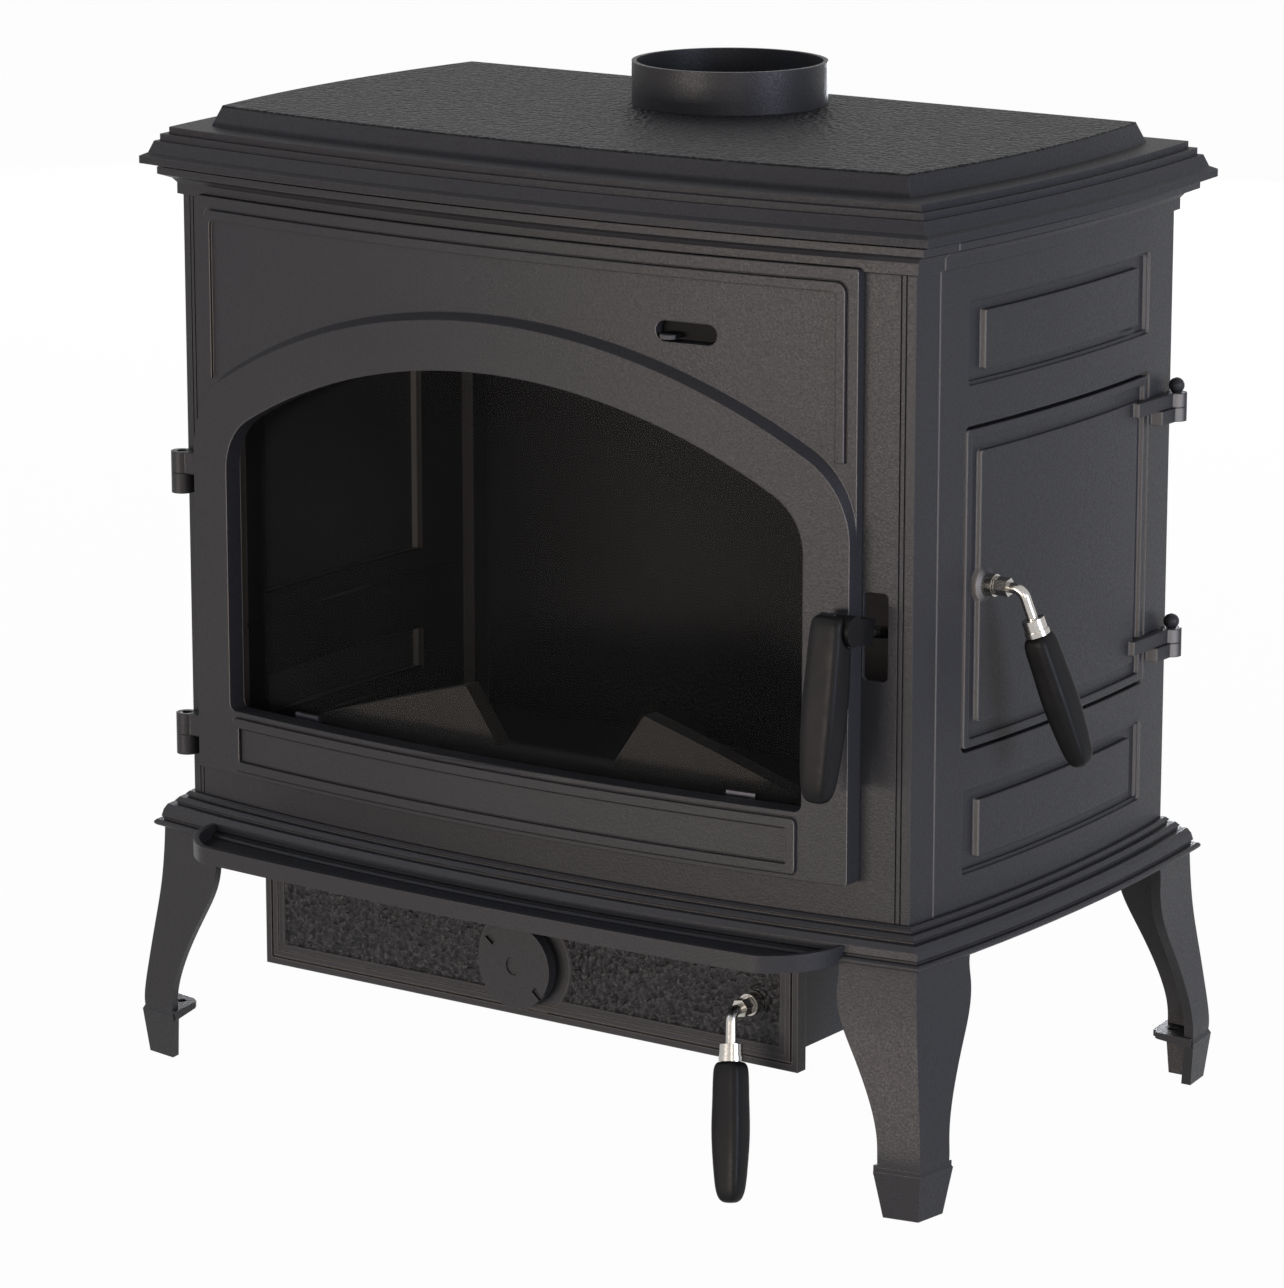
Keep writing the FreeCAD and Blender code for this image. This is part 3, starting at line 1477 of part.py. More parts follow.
def slider_bar():
    """The closed slider: a thin plate behind the slot with a round finger tab through it."""
    half_l, half_h = size("slider_half_l"), size("slider_half_h")
    start = -size("slider_start")
    near = size("slider_play")
    plate = box(start - half_l, near, -half_h, start + half_l, near + size("slider_thick"), half_h)
    half_w = size("slider_tab_w / 2")
    low = -size("slider_tab_drop")
    tip = size("door_skin + slider_tab_out") - half_w
    neck = box(start - half_w, -tip, low, start + half_w, near, low + size("slider_tab_h"))
    round_tip = cylinder(half_w, size("slider_tab_h"), V(start, -tip, low), Z_AXIS)
    bar = fuse(plate, neck, round_tip)
    return moved(bar, slider_frame())


def moved(shape, placement):
    copy = shape.copy()
    copy.Placement = placement.multiply(copy.Placement)
    return copy


def air_guide():
    """The channel that keeps the slider against the door's back."""
    half_l, half_h, rail = size("guide_half_l"), size("slider_half_h + gap"), size("guide_rail")
    depth = size("slider_play + slider_thick + gap")
    back = depth + size("guide_thick")
    channel = box(-half_l, -size("overrun"), -half_h - rail, half_l, back, half_h + rail)
    hollow = box(-half_l - rail, -size("overrun + gap"), -half_h, half_l + rail, depth, half_h)
    sight = box(-half_l - rail, -size("overrun + gap"), -size("slider_half_h / 2"), half_l + rail,
                back + size("gap"), size("slider_half_h / 2"))
    channel = moved(channel.cut(hollow).cut(sight), slider_frame())
    return channel.cut(front_layer(door_outline(), size("gap"), size("door_relief")))


# Handles

def grip(length, width, thick):
    """A moulded grip with flat sides and round edges that hangs down from its origin."""
    rings = []
    for station, girth in zip(GRIP_STATION_SHARES, GRIP_GIRTH_SHARES):
        def at_station(across, along, drop=-length * station):
            return V(across, along, drop)
        half_w, half_t = width / 2 * girth, thick / 2 * girth
        rings.append(rounded(at_station, -half_w, -half_t, half_w, half_t, size("grip_round") * girth))
    return Part.makeLoft(rings, True, False)


def front_handle_axis():
    return V(0, size("handle_axis_y"), size("handle_axis_z"))


def tongue_tilt():
    return FreeCAD.Placement(front_hub_middle(), FreeCAD.Rotation(X_AXIS, -size("tongue_tilt")))


def front_hub_middle():
    return front_handle_axis() + V(size("front_hub_x"), 0, 0)


def front_latch():
    """The hub beside the door's lug, with an arm that carries the tongue."""
    half = size("front_hub_w / 2")
    hub = cylinder(size("front_hub_r"), size("front_hub_w"), V(-half, 0, 0), X_AXIS)
    arm_half, arm_h = size("hub_arm_w / 2"), size("hub_arm_h")
    arm = box(-arm_half, 0, -arm_h / 2, arm_half, size("hub_arm_l"), arm_h / 2)
    bore = cylinder(size("handle_pin_r + running_fit"), size("front_hub_w"), V(-half, 0, 0), X_AXIS)
    seat = cylinder(size("tongue_r"), size("hub_arm_l"), V(0, size("front_hub_r"), 0), Y_AXIS)
    return moved(fuse(hub, arm).cut(bore.fuse(seat)), tongue_tilt())


def latch_tongue():
    """The round steel tongue that drops into the frame's slot."""
    root = V(0, size("front_hub_r"), 0)
    rod = cylinder(size("tongue_r"), size("tongue_l - front_hub_r"), root, Y_AXIS)
    ring = cylinder(size("tongue_ring_r"), size("tongue_ring"), V(0, size("hub_arm_l + gap"), 0), Y_AXIS)
    return moved(fuse(rod, ring), tongue_tilt())


def handle_pin():
    left = handle_lug_x()[0]
    right = size("front_hub_x + front_hub_w / 2")
    return cylinder(size("handle_pin_r"), right - left, front_handle_axis() + V(left, 0, 0), X_AXIS)


def front_grip():
    body = grip(size("front_grip_l"), size("front_grip_w"), size("front_grip_thick"))
    tilt = FreeCAD.Rotation(X_AXIS, -size("front_grip_tilt"))
    spot = V(size("front_grip_x"), size("handle_axis_y - front_hub_r / 2"),
             size("handle_axis_z + front_hub_r"))
    body = moved(body, FreeCAD.Placement(spot, tilt))
    hub_l = size("2 * front_grip_w")
    room_spot = front_handle_axis() + V(size("front_hub_x") - hub_l / 2, 0, 0)
    room = cylinder(size("front_hub_r"), hub_l, room_spot, X_AXIS)
    back = box(-size("reach"), size("handle_axis_y"), 0, size("reach"), 0, size("collar_top"))
    return body.cut(room.fuse(back))


def handle_placement(name):
    """Where a bent handle sits: its spindle runs along local -Y."""
    hang = FreeCAD.Rotation(Y_AXIS, -size("handle_hang"))
    if name == "side":
        along, up = size("side_handle_y"), size("side_handle_z")
        spot = V(side_x(along) + size("boss_rise"), along, up)
        return FreeCAD.Placement(spot, FreeCAD.Rotation(Z_AXIS, 90).multiply(hang))
    spot = V(size("ash_handle_x"), size("ash_door_y"), size("ash_handle_z"))
    return FreeCAD.Placement(spot, hang)


def shank_direction():
    tilt = math.radians(size("handle_tilt"))
    return V(0, -math.sin(tilt), -math.cos(tilt))


def shank_spot(distance):
    """A point down the bent shank, measured from the corner of the bend."""
    return V(0, -size("spindle_out"), 0) + shank_direction() * distance


def handle_shaft(inner):
    """A rod that runs out through the door and bends down to the grip."""
    radius = size("spindle_r")
    turn_angle = math.pi / 2 - math.radians(size("handle_tilt"))
    bend = size("spindle_bend")
    tangent = bend * math.tan(turn_angle / 2)
    corner = shank_spot(0)
    start = V(0, inner, 0)
    before = corner + V(0, tangent, 0)
    after = shank_spot(tangent)
    bisector = (Y_AXIS + shank_direction()).normalize()
    middle = corner + bisector * (bend / math.cos(turn_angle / 2) - bend)
    path = Part.Wire([
        Part.LineSegment(start, before).toShape(),
        Part.Arc(before, middle, after).toShape(),
        Part.LineSegment(after, shank_spot(size("shank_l"))).toShape(),
    ])
    ring = Part.Wire(Part.Circle(start, Y_AXIS, radius).toShape())
    return path.makePipeShell([ring], True, False)


def handle_nut():
    face = -size("bush_face + gap")
    corners = []
    for count in range(NUT_SIDES):
        angle = 2 * math.pi * count / NUT_SIDES
        corners.append(V(size("nut_r") * math.cos(angle), face, size("nut_r") * math.sin(angle)))
    hexagon = Part.Face(Part.makePolygon(corners + corners[:1])).extrude(V(0, -size("nut_l"), 0))
    return hexagon.cut(cylinder(size("spindle_r"), size("nut_l"), V(0, face, 0), -Y_AXIS))


def handle_ferrule():
    """A short sleeve over the end of the shank, with a wider foot on the grip."""
    start = shank_spot(size("shank_l"))
    foot = shank_spot(size("shank_l + ferrule_l"))
    sleeve = cylinder(size("ferrule_r"), size("ferrule_l"), start, shank_direction())
    return fuse(sleeve, cylinder(size("ferrule_foot_r"), size("ferrule_foot"), foot, shank_direction()))


def handle_grip():
    tilt = FreeCAD.Rotation(X_AXIS, -size("handle_tilt"))
    start = shank_spot(size("shank_l + ferrule_l + ferrule_foot"))
    return moved(grip(size("grip_l"), size("grip_w"), size("grip_thick")), FreeCAD.Placement(start, tilt))


def handle_latch(inner):
    """The tongue on the inner end of a spindle, upright so that it clears its frame."""
    half = size("latch_w / 2")
    blade = box(-half, inner - size("latch_thick"), -half, half, inner, size("latch_l"))
    return blade.cut(cylinder(size("spindle_r"), size("latch_thick"), V(0, inner, 0), -Y_AXIS))


def handle_bush(depth):
    """The bearing that is pressed through a door, with a face in front of it."""
    face = cylinder(size("bush_r"), size("bush_face"), V(), -Y_AXIS)
    barrel = cylinder(size("bush_barrel_r"), depth, V(), Y_AXIS)
    return fuse(face, barrel).cut(cylinder(size("spindle_r + running_fit"), depth + size("bush_face"),
                                           V(0, -size("bush_face"), 0), Y_AXIS))


# Side loading door

def side_door():
    skin = side_layer(side_opening(0), -size("side_skin"), 0)
    border = size("side_border")
    front, low = size("side_front") + border, size("side_low") + border
    back, top = size("side_back") - border, size("side_top") - border
    soft = size("sink_step_w")
    inset = size("side_field_in - side_border")
    rim = rounded(on_side, front, low, back, top, soft)
    field = rounded(on_side, front + inset, low + inset, back - inset, top - inset, soft)
    door = skin.cut(side_layer(rim, -size("side_sink"), size("overrun"), field))
    straps = []
    holes = []
    for low_z in side_hinge_heights():
        strap_low = low_z + size("side_lug + gap")
        height = size("side_strap")
        start = size("strap_from_y")
        out = side_x(size("side_back"))
        arm = box(side_x(start) - size("sink_step"), start, strap_low,
                  out + size("strap_thick"), size("side_back + side_gap"), strap_low + height)
        link = box(out + size("gap"), size("side_back"), strap_low, out + size("strap_thick"),
                   size("side_hinge_y"), strap_low + height)
        straps += [arm, link, side_knuckle(strap_low, height)]
        holes.append(side_pin_hole(strap_low, height, size("side_pin_r + running_fit")))
    spot = V(0, size("side_handle_y"), size("side_handle_z"))
    holes.append(cylinder(size("bush_barrel_r"), size("reach"), spot, X_AXIS))
    wide, narrow = size("bush_r + boss_spread"), size("bush_r + boss_rim")
    face = V(side_x(spot.y), spot.y, spot.z)
    root = cylinder(wide, size("side_skin / 2"), face, -X_AXIS)
    dome = Part.makeCone(wide, narrow, size("boss_rise"), face, X_AXIS)
    return fuse(door, root, dome, *straps).cut(Part.makeCompound(holes))


def side_door_seal():
    rear = -size("wall") + size("gap")
    return side_layer(side_opening(0), rear, -size("side_skin"), side_opening(-size("side_seal_w")))


# Ash door, dial and ash box

def ash_door():
    body = new_body("ash_door")
    half = "ash_door_half_w"
    plate = sketch(body, "XZ_Plane", "-ash_door_y - ash_bead_high")
    rectangle(plate, f"-{half}", "ash_door_low", half, "ash_door_top")
    circle(plate, "0", "dial_z", "dial_stem_r + running_fit")
    circle(plate, "ash_handle_x", "ash_handle_z", "bush_barrel_r")
    for count in range(AIR_HOLES):
        angle = 2 * math.pi * (count + 0.5) / AIR_HOLES
        circle(plate, f"air_hole_pcr * {math.cos(angle):.6f}",
               f"dial_z + air_hole_pcr * {math.sin(angle):.6f}", "air_hole_r")
    pad(body, plate, "ash_door_skin", reverse=True)
    bead_start = "ash_edge + ash_groove"
    bead_end = bead_start + " + ash_bead"
    for start, stop, height in (("0", "ash_edge", "ash_bead_high"),
                                (bead_start, bead_end, "ash_bead_high"),
                                (bead_end, bead_end + " + ash_ledge", "ash_ledge_high")):
        border = sketch(body, "XZ_Plane", "-ash_door_y - ash_bead_high")
        for inset in (start, stop):
            rectangle(border, f"-{half} + ({inset})", f"ash_door_low + ({inset})",
                      f"{half} - ({inset})", f"ash_door_top - ({inset})")
        pad(body, border, height)
    boss = sketch(body, "XZ_Plane", "-ash_door_y - ash_bead_high")
    circle(boss, "ash_handle_x", "ash_handle_z", "bush_r + boss_rim")
    circle(boss, "ash_handle_x", "ash_handle_z", "bush_barrel_r")
    pad(body, boss, "ash_bead_high")
    ring = sketch(body, "XZ_Plane", "-ash_door_y - ash_bead_high")
    circle(ring, "0", "dial_z", "dial_pad_r")
    circle(ring, "0", "dial_z", "air_hole_pcr + air_hole_r + dial_pad")
    pad(body, ring, "dial_pad")
    for low in ("ash_hinge_low_z", "ash_hinge_low_z + ash_hinge_rise"):
        knuckle = sketch(body, "XY_Plane", f"{low} + ash_knuckle + gap")
        back = "ash_door_y + ash_bead_high + ash_door_skin - gap"
        polygon(knuckle, [("ash_hinge_x - ash_knuckle_r", back), ("ash_hinge_x + ash_knuckle_r", back),
                          ("ash_hinge_x + ash_knuckle_r", "ash_hinge_y + ash_knuckle_r"),
                          ("ash_hinge_x - ash_knuckle_r", "ash_hinge_y + ash_knuckle_r")])
        circle(knuckle, "ash_hinge_x", "ash_hinge_y", "ash_pin_r + running_fit")
        pad(body, knuckle, "ash_knuckle")
    settle(body)


def ash_door_seal():
    body = new_body("ash_door_seal")
    drawing = sketch(body, "XZ_Plane", "-ash_door_y - ash_bead_high - ash_door_skin")
    left = "-box_half_w + (box_rim - ash_seal_w) / 2"
    right = "box_half_w - (box_rim - ash_seal_w) / 2"
    low, top = "box_low + (box_rim - ash_seal_w) / 2", "ash_door_top - (box_rim - ash_seal_w) / 2"
    rectangle(drawing, left, low, right, top)
    rectangle(drawing, f"{left} + ash_seal_w", f"{low} + ash_seal_w",
              f"{right} - ash_seal_w", f"{top} - ash_seal_w")
    pad(body, drawing, "ash_seal", reverse=True)
    settle(body)


def box_front():
    """The Y of the front edge of the ash box, clear of the closed door's seal."""
    return size("ash_door_y + ash_bead_high + ash_door_skin + ash_seal + gap")


def ash_box():
    """A box under the base, closed in front by the ash door and open at the top."""
    front, back, top = box_front(), size("box_back_y"), size("plinth_bottom")
    half, low = size("box_half_w"), size("box_low")
    rim, wall = size("box_rim"), size("box_wall")
    mouth_top = size("ash_door_top - box_rim")
    collar_y = size("body_front_y + wall")
    under = size("body_bottom - base_floor")
    shell = fuse(box(-half, front, low, half, back, top), box(-half, collar_y, low, half, back, under))
    mouth = box(-half + rim, front - rim, low + rim, half - rim, back - wall, mouth_top)
    room = box(-half + rim, collar_y + rim, low + rim, half - rim, back - wall, under + rim)
    lugs = []
    for base in (size("ash_hinge_low_z"), size("ash_hinge_low_z + ash_hinge_rise")):
        spot = V(size("ash_hinge_x"), size("ash_hinge_y"), base)
        radius, height = size("ash_knuckle_r"), size("ash_knuckle")
        knuckle = cylinder(radius, height, spot, Z_AXIS)
        arm = box(spot.x, spot.y - radius / 2, base, -half + rim / 2, spot.y + radius, base + height)
        lugs.append(fuse(knuckle, arm).cut(cylinder(size("ash_pin_r"), height, spot, Z_AXIS)))
    return fuse(shell.cut(mouth).cut(room), *lugs)


def ash_hinge_pins():
    pins = []
    for base in (size("ash_hinge_low_z"), size("ash_hinge_low_z + ash_hinge_rise")):
        spot = V(size("ash_hinge_x"), size("ash_hinge_y"), base)
        pins.append(cylinder(size("ash_pin_r"), size("2 * ash_knuckle + gap"), spot, Z_AXIS))
    return Part.makeCompound(pins)


def ash_pan():
    body = new_body("ash_pan")
    floor = sketch(body, "XY_Plane", "pan_low")
    rectangle(floor, "-pan_half_w", "pan_front_y", "pan_half_w", "pan_back_y")
    pad(body, floor, "pan_top - pan_low")
    inside = sketch(body, "XY_Plane", "pan_top")
    rectangle(inside, "-pan_half_w + pan_wall", "pan_front_y + pan_wall",
              "pan_half_w - pan_wall", "pan_back_y - pan_wall")
    pocket(body, inside, "pan_top - pan_low - pan_wall")
    settle(body)


def air_dial():
    body = new_body("air_dial")
    front = "-ash_door_y + gap + dial_hub + dial_thick"
    disc = sketch(body, "XZ_Plane", front)
    circle(disc, "0", "dial_z", "dial_r")
    pad(body, disc, "dial_thick", reverse=True)
    hub = sketch(body, "XZ_Plane", "-ash_door_y + gap + dial_hub")
    circle(hub, "0", "dial_z", "dial_hub_r")
    pad(body, hub, "dial_hub + ash_bead_high", reverse=True)
    dish = sketch(body, "XZ_Plane", front)
    circle(dish, "0", "dial_z", "dial_dish_r")
    pocket(body, dish, "dial_dish")
    for angle in DIAL_NOTCH_ANGLES:
        notch = sketch(body, "XZ_Plane", front)
        way, out = math.cos(math.radians(angle)), math.sin(math.radians(angle))
        corners = []
        for along, across in ((-1, -1), (0.5, -1), (0.5, 1), (-1, 1)):
            reach = f"(dial_r + dial_notch_l * {along})"
            side = f"(dial_notch_w / 2 * {across})"
            corners.append((f"{reach} * {-way:.6f} - {side} * {out:.6f}",
                            f"dial_z + {reach} * {out:.6f} + {side} * {-way:.6f}"))
        polygon(notch, corners)
        pocket(body, notch, "dial_notch_deep")
    settle(body)


def dial_screw():
    """The stem that carries the dial through the door, with its nut behind."""
    hub_back = V(0, size("ash_door_y + ash_bead_high - gap"), size("dial_z"))
    door_back = V(0, size("ash_door_y + ash_bead_high + ash_door_skin + gap"), size("dial_z"))
    stem = cylinder(size("dial_stem_r"), size("dial_stem_l"), hub_back, Y_AXIS)
    return fuse(stem, cylinder(size("dial_nut_r"), size("dial_nut"), door_back, Y_AXIS))


# Inside the firebox

def grate():
    body = new_body("grate")
    plate = sketch(body, "XY_Plane", "body_bottom")
    rectangle(plate, "-grate_half_w", "grate_front_y", "grate_half_w", "grate_back_y")
    pad(body, plate, "grate_thick")
    slots = sketch(body, "XY_Plane", "body_bottom + grate_thick")
    pitch = size("grate_bar + grate_slot")
    count = int(size("2 * grate_half_w - 2 * grate_border + grate_bar") // pitch)
    for index in range(count):
        middle = f"({index} - {(count - 1) / 2}) * (grate_bar + grate_slot)"
        rectangle(slots, f"{middle} - grate_slot / 2", "grate_front_y + grate_border",
                  f"{middle} + grate_slot / 2", "grate_back_y - grate_border")
    pocket(body, slots, "grate_thick")
    settle(body)


def log_guard():
    """A plate behind the door that keeps logs off the glass, with two horns."""
    body = new_body("log_guard")
    drawing = sketch(body, "XZ_Plane", "-guard_y")
    rising = [(f"guard_half_w * {across}", f"body_bottom + guard_h * {up}") for across, up in GUARD_SHARES]
    falling = [(f"-{across}", up) for across, up in rising[::-1]]
    right_foot, left_foot = ("guard_half_w", "body_bottom"), ("-guard_half_w", "body_bottom")
    polygon(drawing, [right_foot] + rising + falling + [left_foot])
    pad(body, drawing, "guard_thick", reverse=True)
    settle(body)


def baffle_plate():
    """The plate on the side ledges that turns the smoke to the front."""
    body = new_body("baffle_plate")
    drawing = sketch(body, "XY_Plane", "baffle_z")
    rectangle(drawing, "-baffle_half_w", "baffle_front_y", "baffle_half_w", "body_back_y - wall - gap")
    pad(body, drawing, "baffle_thick")
    settle(body)


# The whole stove

def build():
    ring = body_ring()
    casting("base_plate", base_plate())
    casting("front_frame", front_frame(ring))
    casting("side_panel_right", side_panel_right(ring))
    casting("side_panel_left", side_panel_left(ring))
    casting("back_panel", back_panel())
    casting("top_plate", top_plate())
    flue_collar()
    casting("collar_bolts", collar_bolts())
    casting("ash_lip", ash_lip())
    for label, rear in (("front", False), ("rear", True)):
        right_leg = leg(rear)
        casting(f"leg_{label}_right", right_leg)
        casting(f"leg_{label}_left", right_leg.mirror(V(), X_AXIS))
    casting("leg_bolts", leg_bolts())
    log_guard()
    grate()
    baffle_plate()
    casting("front_hinge_pins", front_hinge_pins())
    casting("front_door", front_door())
    casting("door_glass", door_glass())
    casting("glass_gasket", glass_gasket())
    casting("glass_clips", glass_clips())
    casting("clip_screws", clip_screws())
    casting("door_rope_seal", door_rope_seal())
    casting("air_guide", air_guide())
    casting("air_slider", slider_bar())
    casting("handle_pin", handle_pin())
    casting("front_latch", front_latch())
    casting("latch_tongue", latch_tongue())
    casting("front_grip", front_grip())
    casting("side_hinge_pins", side_hinge_pins())
    casting("side_door", side_door())
    casting("side_door_seal", side_door_seal())
    depths = {"side": size("side_skin + boss_rise"), "ash": size("ash_bead_high + ash_door_skin")}
    for name, depth in depths.items():
        where = handle_placement(name)
        inner = depth + size("latch_thick + 3 * gap")
        casting(f"{name}_spindle_bush", moved(handle_bush(depth), where))
        casting(f"{name}_handle_shaft", moved(handle_shaft(inner), where))
        casting(f"{name}_handle_nut", moved(handle_nut(), where))
        casting(f"{name}_handle_ferrule", moved(handle_ferrule(), where))
        casting(f"{name}_handle_grip", moved(handle_grip(), where))
        casting(f"{name}_latch", moved(handle_latch(inner), where))
    casting("ash_box", ash_box())
    casting("ash_hinge_pins", ash_hinge_pins())
    ash_door()
    ash_door_seal()
    air_dial()
    casting("dial_screw", dial_screw())
    ash_pan()
    doc.recompute()


def check_and_write():
    """Refuse a failed feature or an empty shape, then write one file a sub-part."""
    for item in doc.Objects:
        if {"Invalid", "Error"} & set(item.State):
            raise RuntimeError(f"{item.Name} failed: {item.State}")
    os.makedirs("parts", exist_ok=True)
    for item in SUB_PARTS:
        if item.Shape.isNull() or not item.Shape.isValid() or not item.Shape.Solids:
            raise RuntimeError(f"{item.Label} has no valid shape")
    for item in SUB_PARTS:
        item.Shape.exportStep(f"parts/{item.Label}.step")


build()
check_and_write()
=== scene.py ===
# %% [markdown]
# # Dressing a cast iron wood stove
# The solids come from a CAD model, so every casting, pin and handle already has its true shape and place.
# What is left for Blender is the finish: matt stove paint over sand-cast iron, a pebbled top, polished
# steel rods, satin black grips and a clear window. This first cell loads the solids, and a small function
# reads the box of any one of them.

# %% Load the solids
import math

import bpy
from mathutils import Matrix, Vector


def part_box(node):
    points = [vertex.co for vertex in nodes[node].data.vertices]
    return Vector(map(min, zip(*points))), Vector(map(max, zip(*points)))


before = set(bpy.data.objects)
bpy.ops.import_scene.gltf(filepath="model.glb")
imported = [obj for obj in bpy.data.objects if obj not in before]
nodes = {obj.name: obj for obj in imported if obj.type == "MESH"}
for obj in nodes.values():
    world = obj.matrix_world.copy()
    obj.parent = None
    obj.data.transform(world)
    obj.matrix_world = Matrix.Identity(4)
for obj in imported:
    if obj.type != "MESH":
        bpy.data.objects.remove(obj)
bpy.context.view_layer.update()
scene = bpy.context.scene
scene.view_settings.view_transform = "Standard"
print("nodes:", len(nodes))

# %% [markdown]
# ## Camera
# The viewing angle was solved from straight and bowed edges in the photograph: a long lens, turned to the
# stove's right and raised a little. A long lens keeps the side nearly as large as it really is. The
# camera is set by its three axes, because they are what was solved, and a small shift centres the
# picture.

# %% Camera
AZIMUTH, ELEVATION = math.radians(34.845), math.radians(13.398)
SENSOR_MM = 36
FOCAL_PIXELS, PHOTO_PIXELS = 5491, 1288
STOVE_MIDDLE = Vector((-0.025, -0.0126, 0.346))
CAMERA_DISTANCE = 4.19047
SHIFT_RIGHT, SHIFT_UP = 0.00108, 0.00023
FARTHEST_SEEN = 50

back = Vector((math.sin(AZIMUTH) * math.cos(ELEVATION),
               -math.cos(AZIMUTH) * math.cos(ELEVATION),
               math.sin(ELEVATION)))
right = Vector((math.cos(AZIMUTH), math.sin(AZIMUTH), 0))
up = back.cross(right)
lens_data = bpy.data.cameras.new("studio_camera")
lens_data.sensor_width = SENSOR_MM
lens_data.lens = SENSOR_MM * FOCAL_PIXELS / PHOTO_PIXELS
lens_data.clip_end = FARTHEST_SEEN
camera = bpy.data.objects.new("studio_camera", lens_data)
camera.matrix_world = Matrix((right, up, back)).transposed().to_4x4()
camera.location = STOVE_MIDDLE + back * CAMERA_DISTANCE + right * SHIFT_RIGHT + up * SHIFT_UP
scene.collection.objects.link(camera)
scene.camera = camera
print("lens mm:", round(lens_data.lens, 1))

# %% [markdown]
# ## Tools for the finishes
# Each finish is a small tree of shader nodes. One function adds a node, sets its fields and joins its
# inputs, so a tree reads from top to bottom. Colours are written as on a paint card and turned to linear
# light, and a pattern's scale comes from a size in millimetres, so both can be compared with the real
# thing.

# %% Tools for the finishes
def linear(card):
    """A colour from a paint card, as linear red, green, blue and alpha."""
    parts = [int(card[i:i + 2], 16) / 255 for i in (1, 3, 5)]
    return [p / 12.92 if p <= 0.04045 else ((p + 0.055) / 1.055) ** 2.4 for p in parts] + [1.0]


def per_metre(millimetres):
    """The scale that gives a pattern one cell in this many millimetres."""
    return 1000 / millimetres


def add(tree, kind, inputs=(), **fields):
    """Add one node, set its fields, and set or join its inputs by name or number."""
    made = tree.nodes.new("ShaderNode" + kind)
    for name, value in fields.items():
        setattr(made, name, value)
    for name, value in dict(inputs).items():
        if isinstance(value, bpy.types.NodeSocket):
            tree.links.new(value, made.inputs[name])
        else:
            made.inputs[name].default_value = value
    return made


print("middle grey in linear light:", round(linear("#808080")[0], 3))

# %% [markdown]
# ## Starting a finish and giving it to pieces
# A new finish brings its tree, its surface shader and the stove's own coordinates. They are the object
# coordinates, which move with a door when it opens, so a pattern stays on its casting. A Mix node that
# mixes colours has several inputs of the same name, so its four sockets are kept by number here.

# %% Starting a finish and giving it to pieces
SHARE, FIRST, SECOND, MIXED = 0, 6, 7, 2


def blank(name):
    """A new finish: itself, its tree, its surface shader and the stove's own coordinates."""
    finish = bpy.data.materials.new(name)
    finish.use_nodes = True
    tree = finish.node_tree
    place = add(tree, "TexCoord").outputs["Object"]
    return finish, tree, tree.nodes["Principled BSDF"], place


def give(finish, *names):
    """Put one finish on the nodes with these names."""
    for name in names:
        slots = nodes[name].data.materials
        slots.clear()
        slots.append(finish)
    print(finish.name, "is on", len(names), "nodes")


print("sockets of a colour mix:", SHARE, FIRST, SECOND, MIXED)

# %% [markdown]
# ## Painted shade in the firebox
# The inner faces of the castings are painted near black and rough: painted shade for the dark firebox and
# the slots that open into it. Each casting is one piece, so instead of a second finish for some of its
# faces, a box in the stove's own coordinates says what is inside. The box ends in the thickness of the
# side, back and top castings, so their inner faces lie in it and their outer ones don't. At the foot it
# takes in the base plate's whole floor, so the underside there is painted black too.

# %% Painted shade in the firebox
FIREBOX_LOW = Vector((-0.348, -0.143, 0.200))
FIREBOX_HIGH = Vector((0.298, 0.208, 0.730))
FIREBOX_SHADE_COVER = 0.7
FIREBOX_SHADE_FADE = 0.001


def off_middle(tree, place, middle):
    """How far a point lies from a middle along each axis."""
    offset = add(tree, "VectorMath", {0: place, 1: middle}, operation="SUBTRACT")
    return add(tree, "VectorMath", {0: offset.outputs[0]}, operation="ABSOLUTE").outputs[0]


def fireside(tree, place):
    """How much painted shade covers a place: most of it inside the box, and none outside."""
    away = off_middle(tree, place, (FIREBOX_LOW + FIREBOX_HIGH) / 2)
    half = (FIREBOX_HIGH - FIREBOX_LOW) / 2
    spare = add(tree, "VectorMath", {0: half, 1: away}, operation="SUBTRACT")
    axes = add(tree, "SeparateXYZ", {0: spare.outputs[0]}).outputs
    least = add(tree, "Math", {0: axes["X"], 1: axes["Y"]}, operation="MINIMUM")
    least = add(tree, "Math", {0: least.outputs[0], 1: axes["Z"]}, operation="MINIMUM")
    return add(tree, "MapRange", {"Value": least.outputs[0], "From Max": FIREBOX_SHADE_FADE,
                                  "To Max": FIREBOX_SHADE_COVER}).outputs[0]


# The box where the firebox gets its painted shade.
print("soot box in metres:", [round(side, 3) for side in FIREBOX_HIGH - FIREBOX_LOW])

# %% [markdown]
# ## Painted edge highlights
# Edges are painted paler: a painted highlight where they catch the light. A Bevel node rounds the edges for
# the light alone, and where the rounded normal leaves the true one there is an edge. So no edge has to be
# picked by hand. Where the light comes from one side, only what turns to that side counts: the edges, or
# the narrow walls as well.

# %% Painted edge highlights
# How pale the painted highlight on the edges gets at most.
EDGE_HIGHLIGHT_MOST = 0.55
TURN_STARTS, TURN_FULL = 0.1, 0.63


def painted_edge_highlight(tree, rounded, lit_from, walls_too):
    """How much painted highlight an edge gets, from a rounded normal and the side that the light comes from.
    """
    flat = add(tree, "NewGeometry").outputs["True Normal"]
    lean = add(tree, "VectorMath", {0: rounded, 1: flat}, operation="SUBTRACT").outputs[0]
    if lit_from:
        facing = rounded if walls_too else lean
        turn = add(tree, "VectorMath", {0: facing, 1: lit_from}, operation="DOT_PRODUCT")
    else:
        turn = add(tree, "VectorMath", {0: lean}, operation="LENGTH")
    return add(tree, "MapRange", {"Value": turn.outputs["Value"], "From Min": TURN_STARTS,
                                  "From Max": TURN_FULL, "To Max": EDGE_HIGHLIGHT_MOST}).outputs[0]


print("most of the paint that is rubbed off:", EDGE_HIGHLIGHT_MOST)
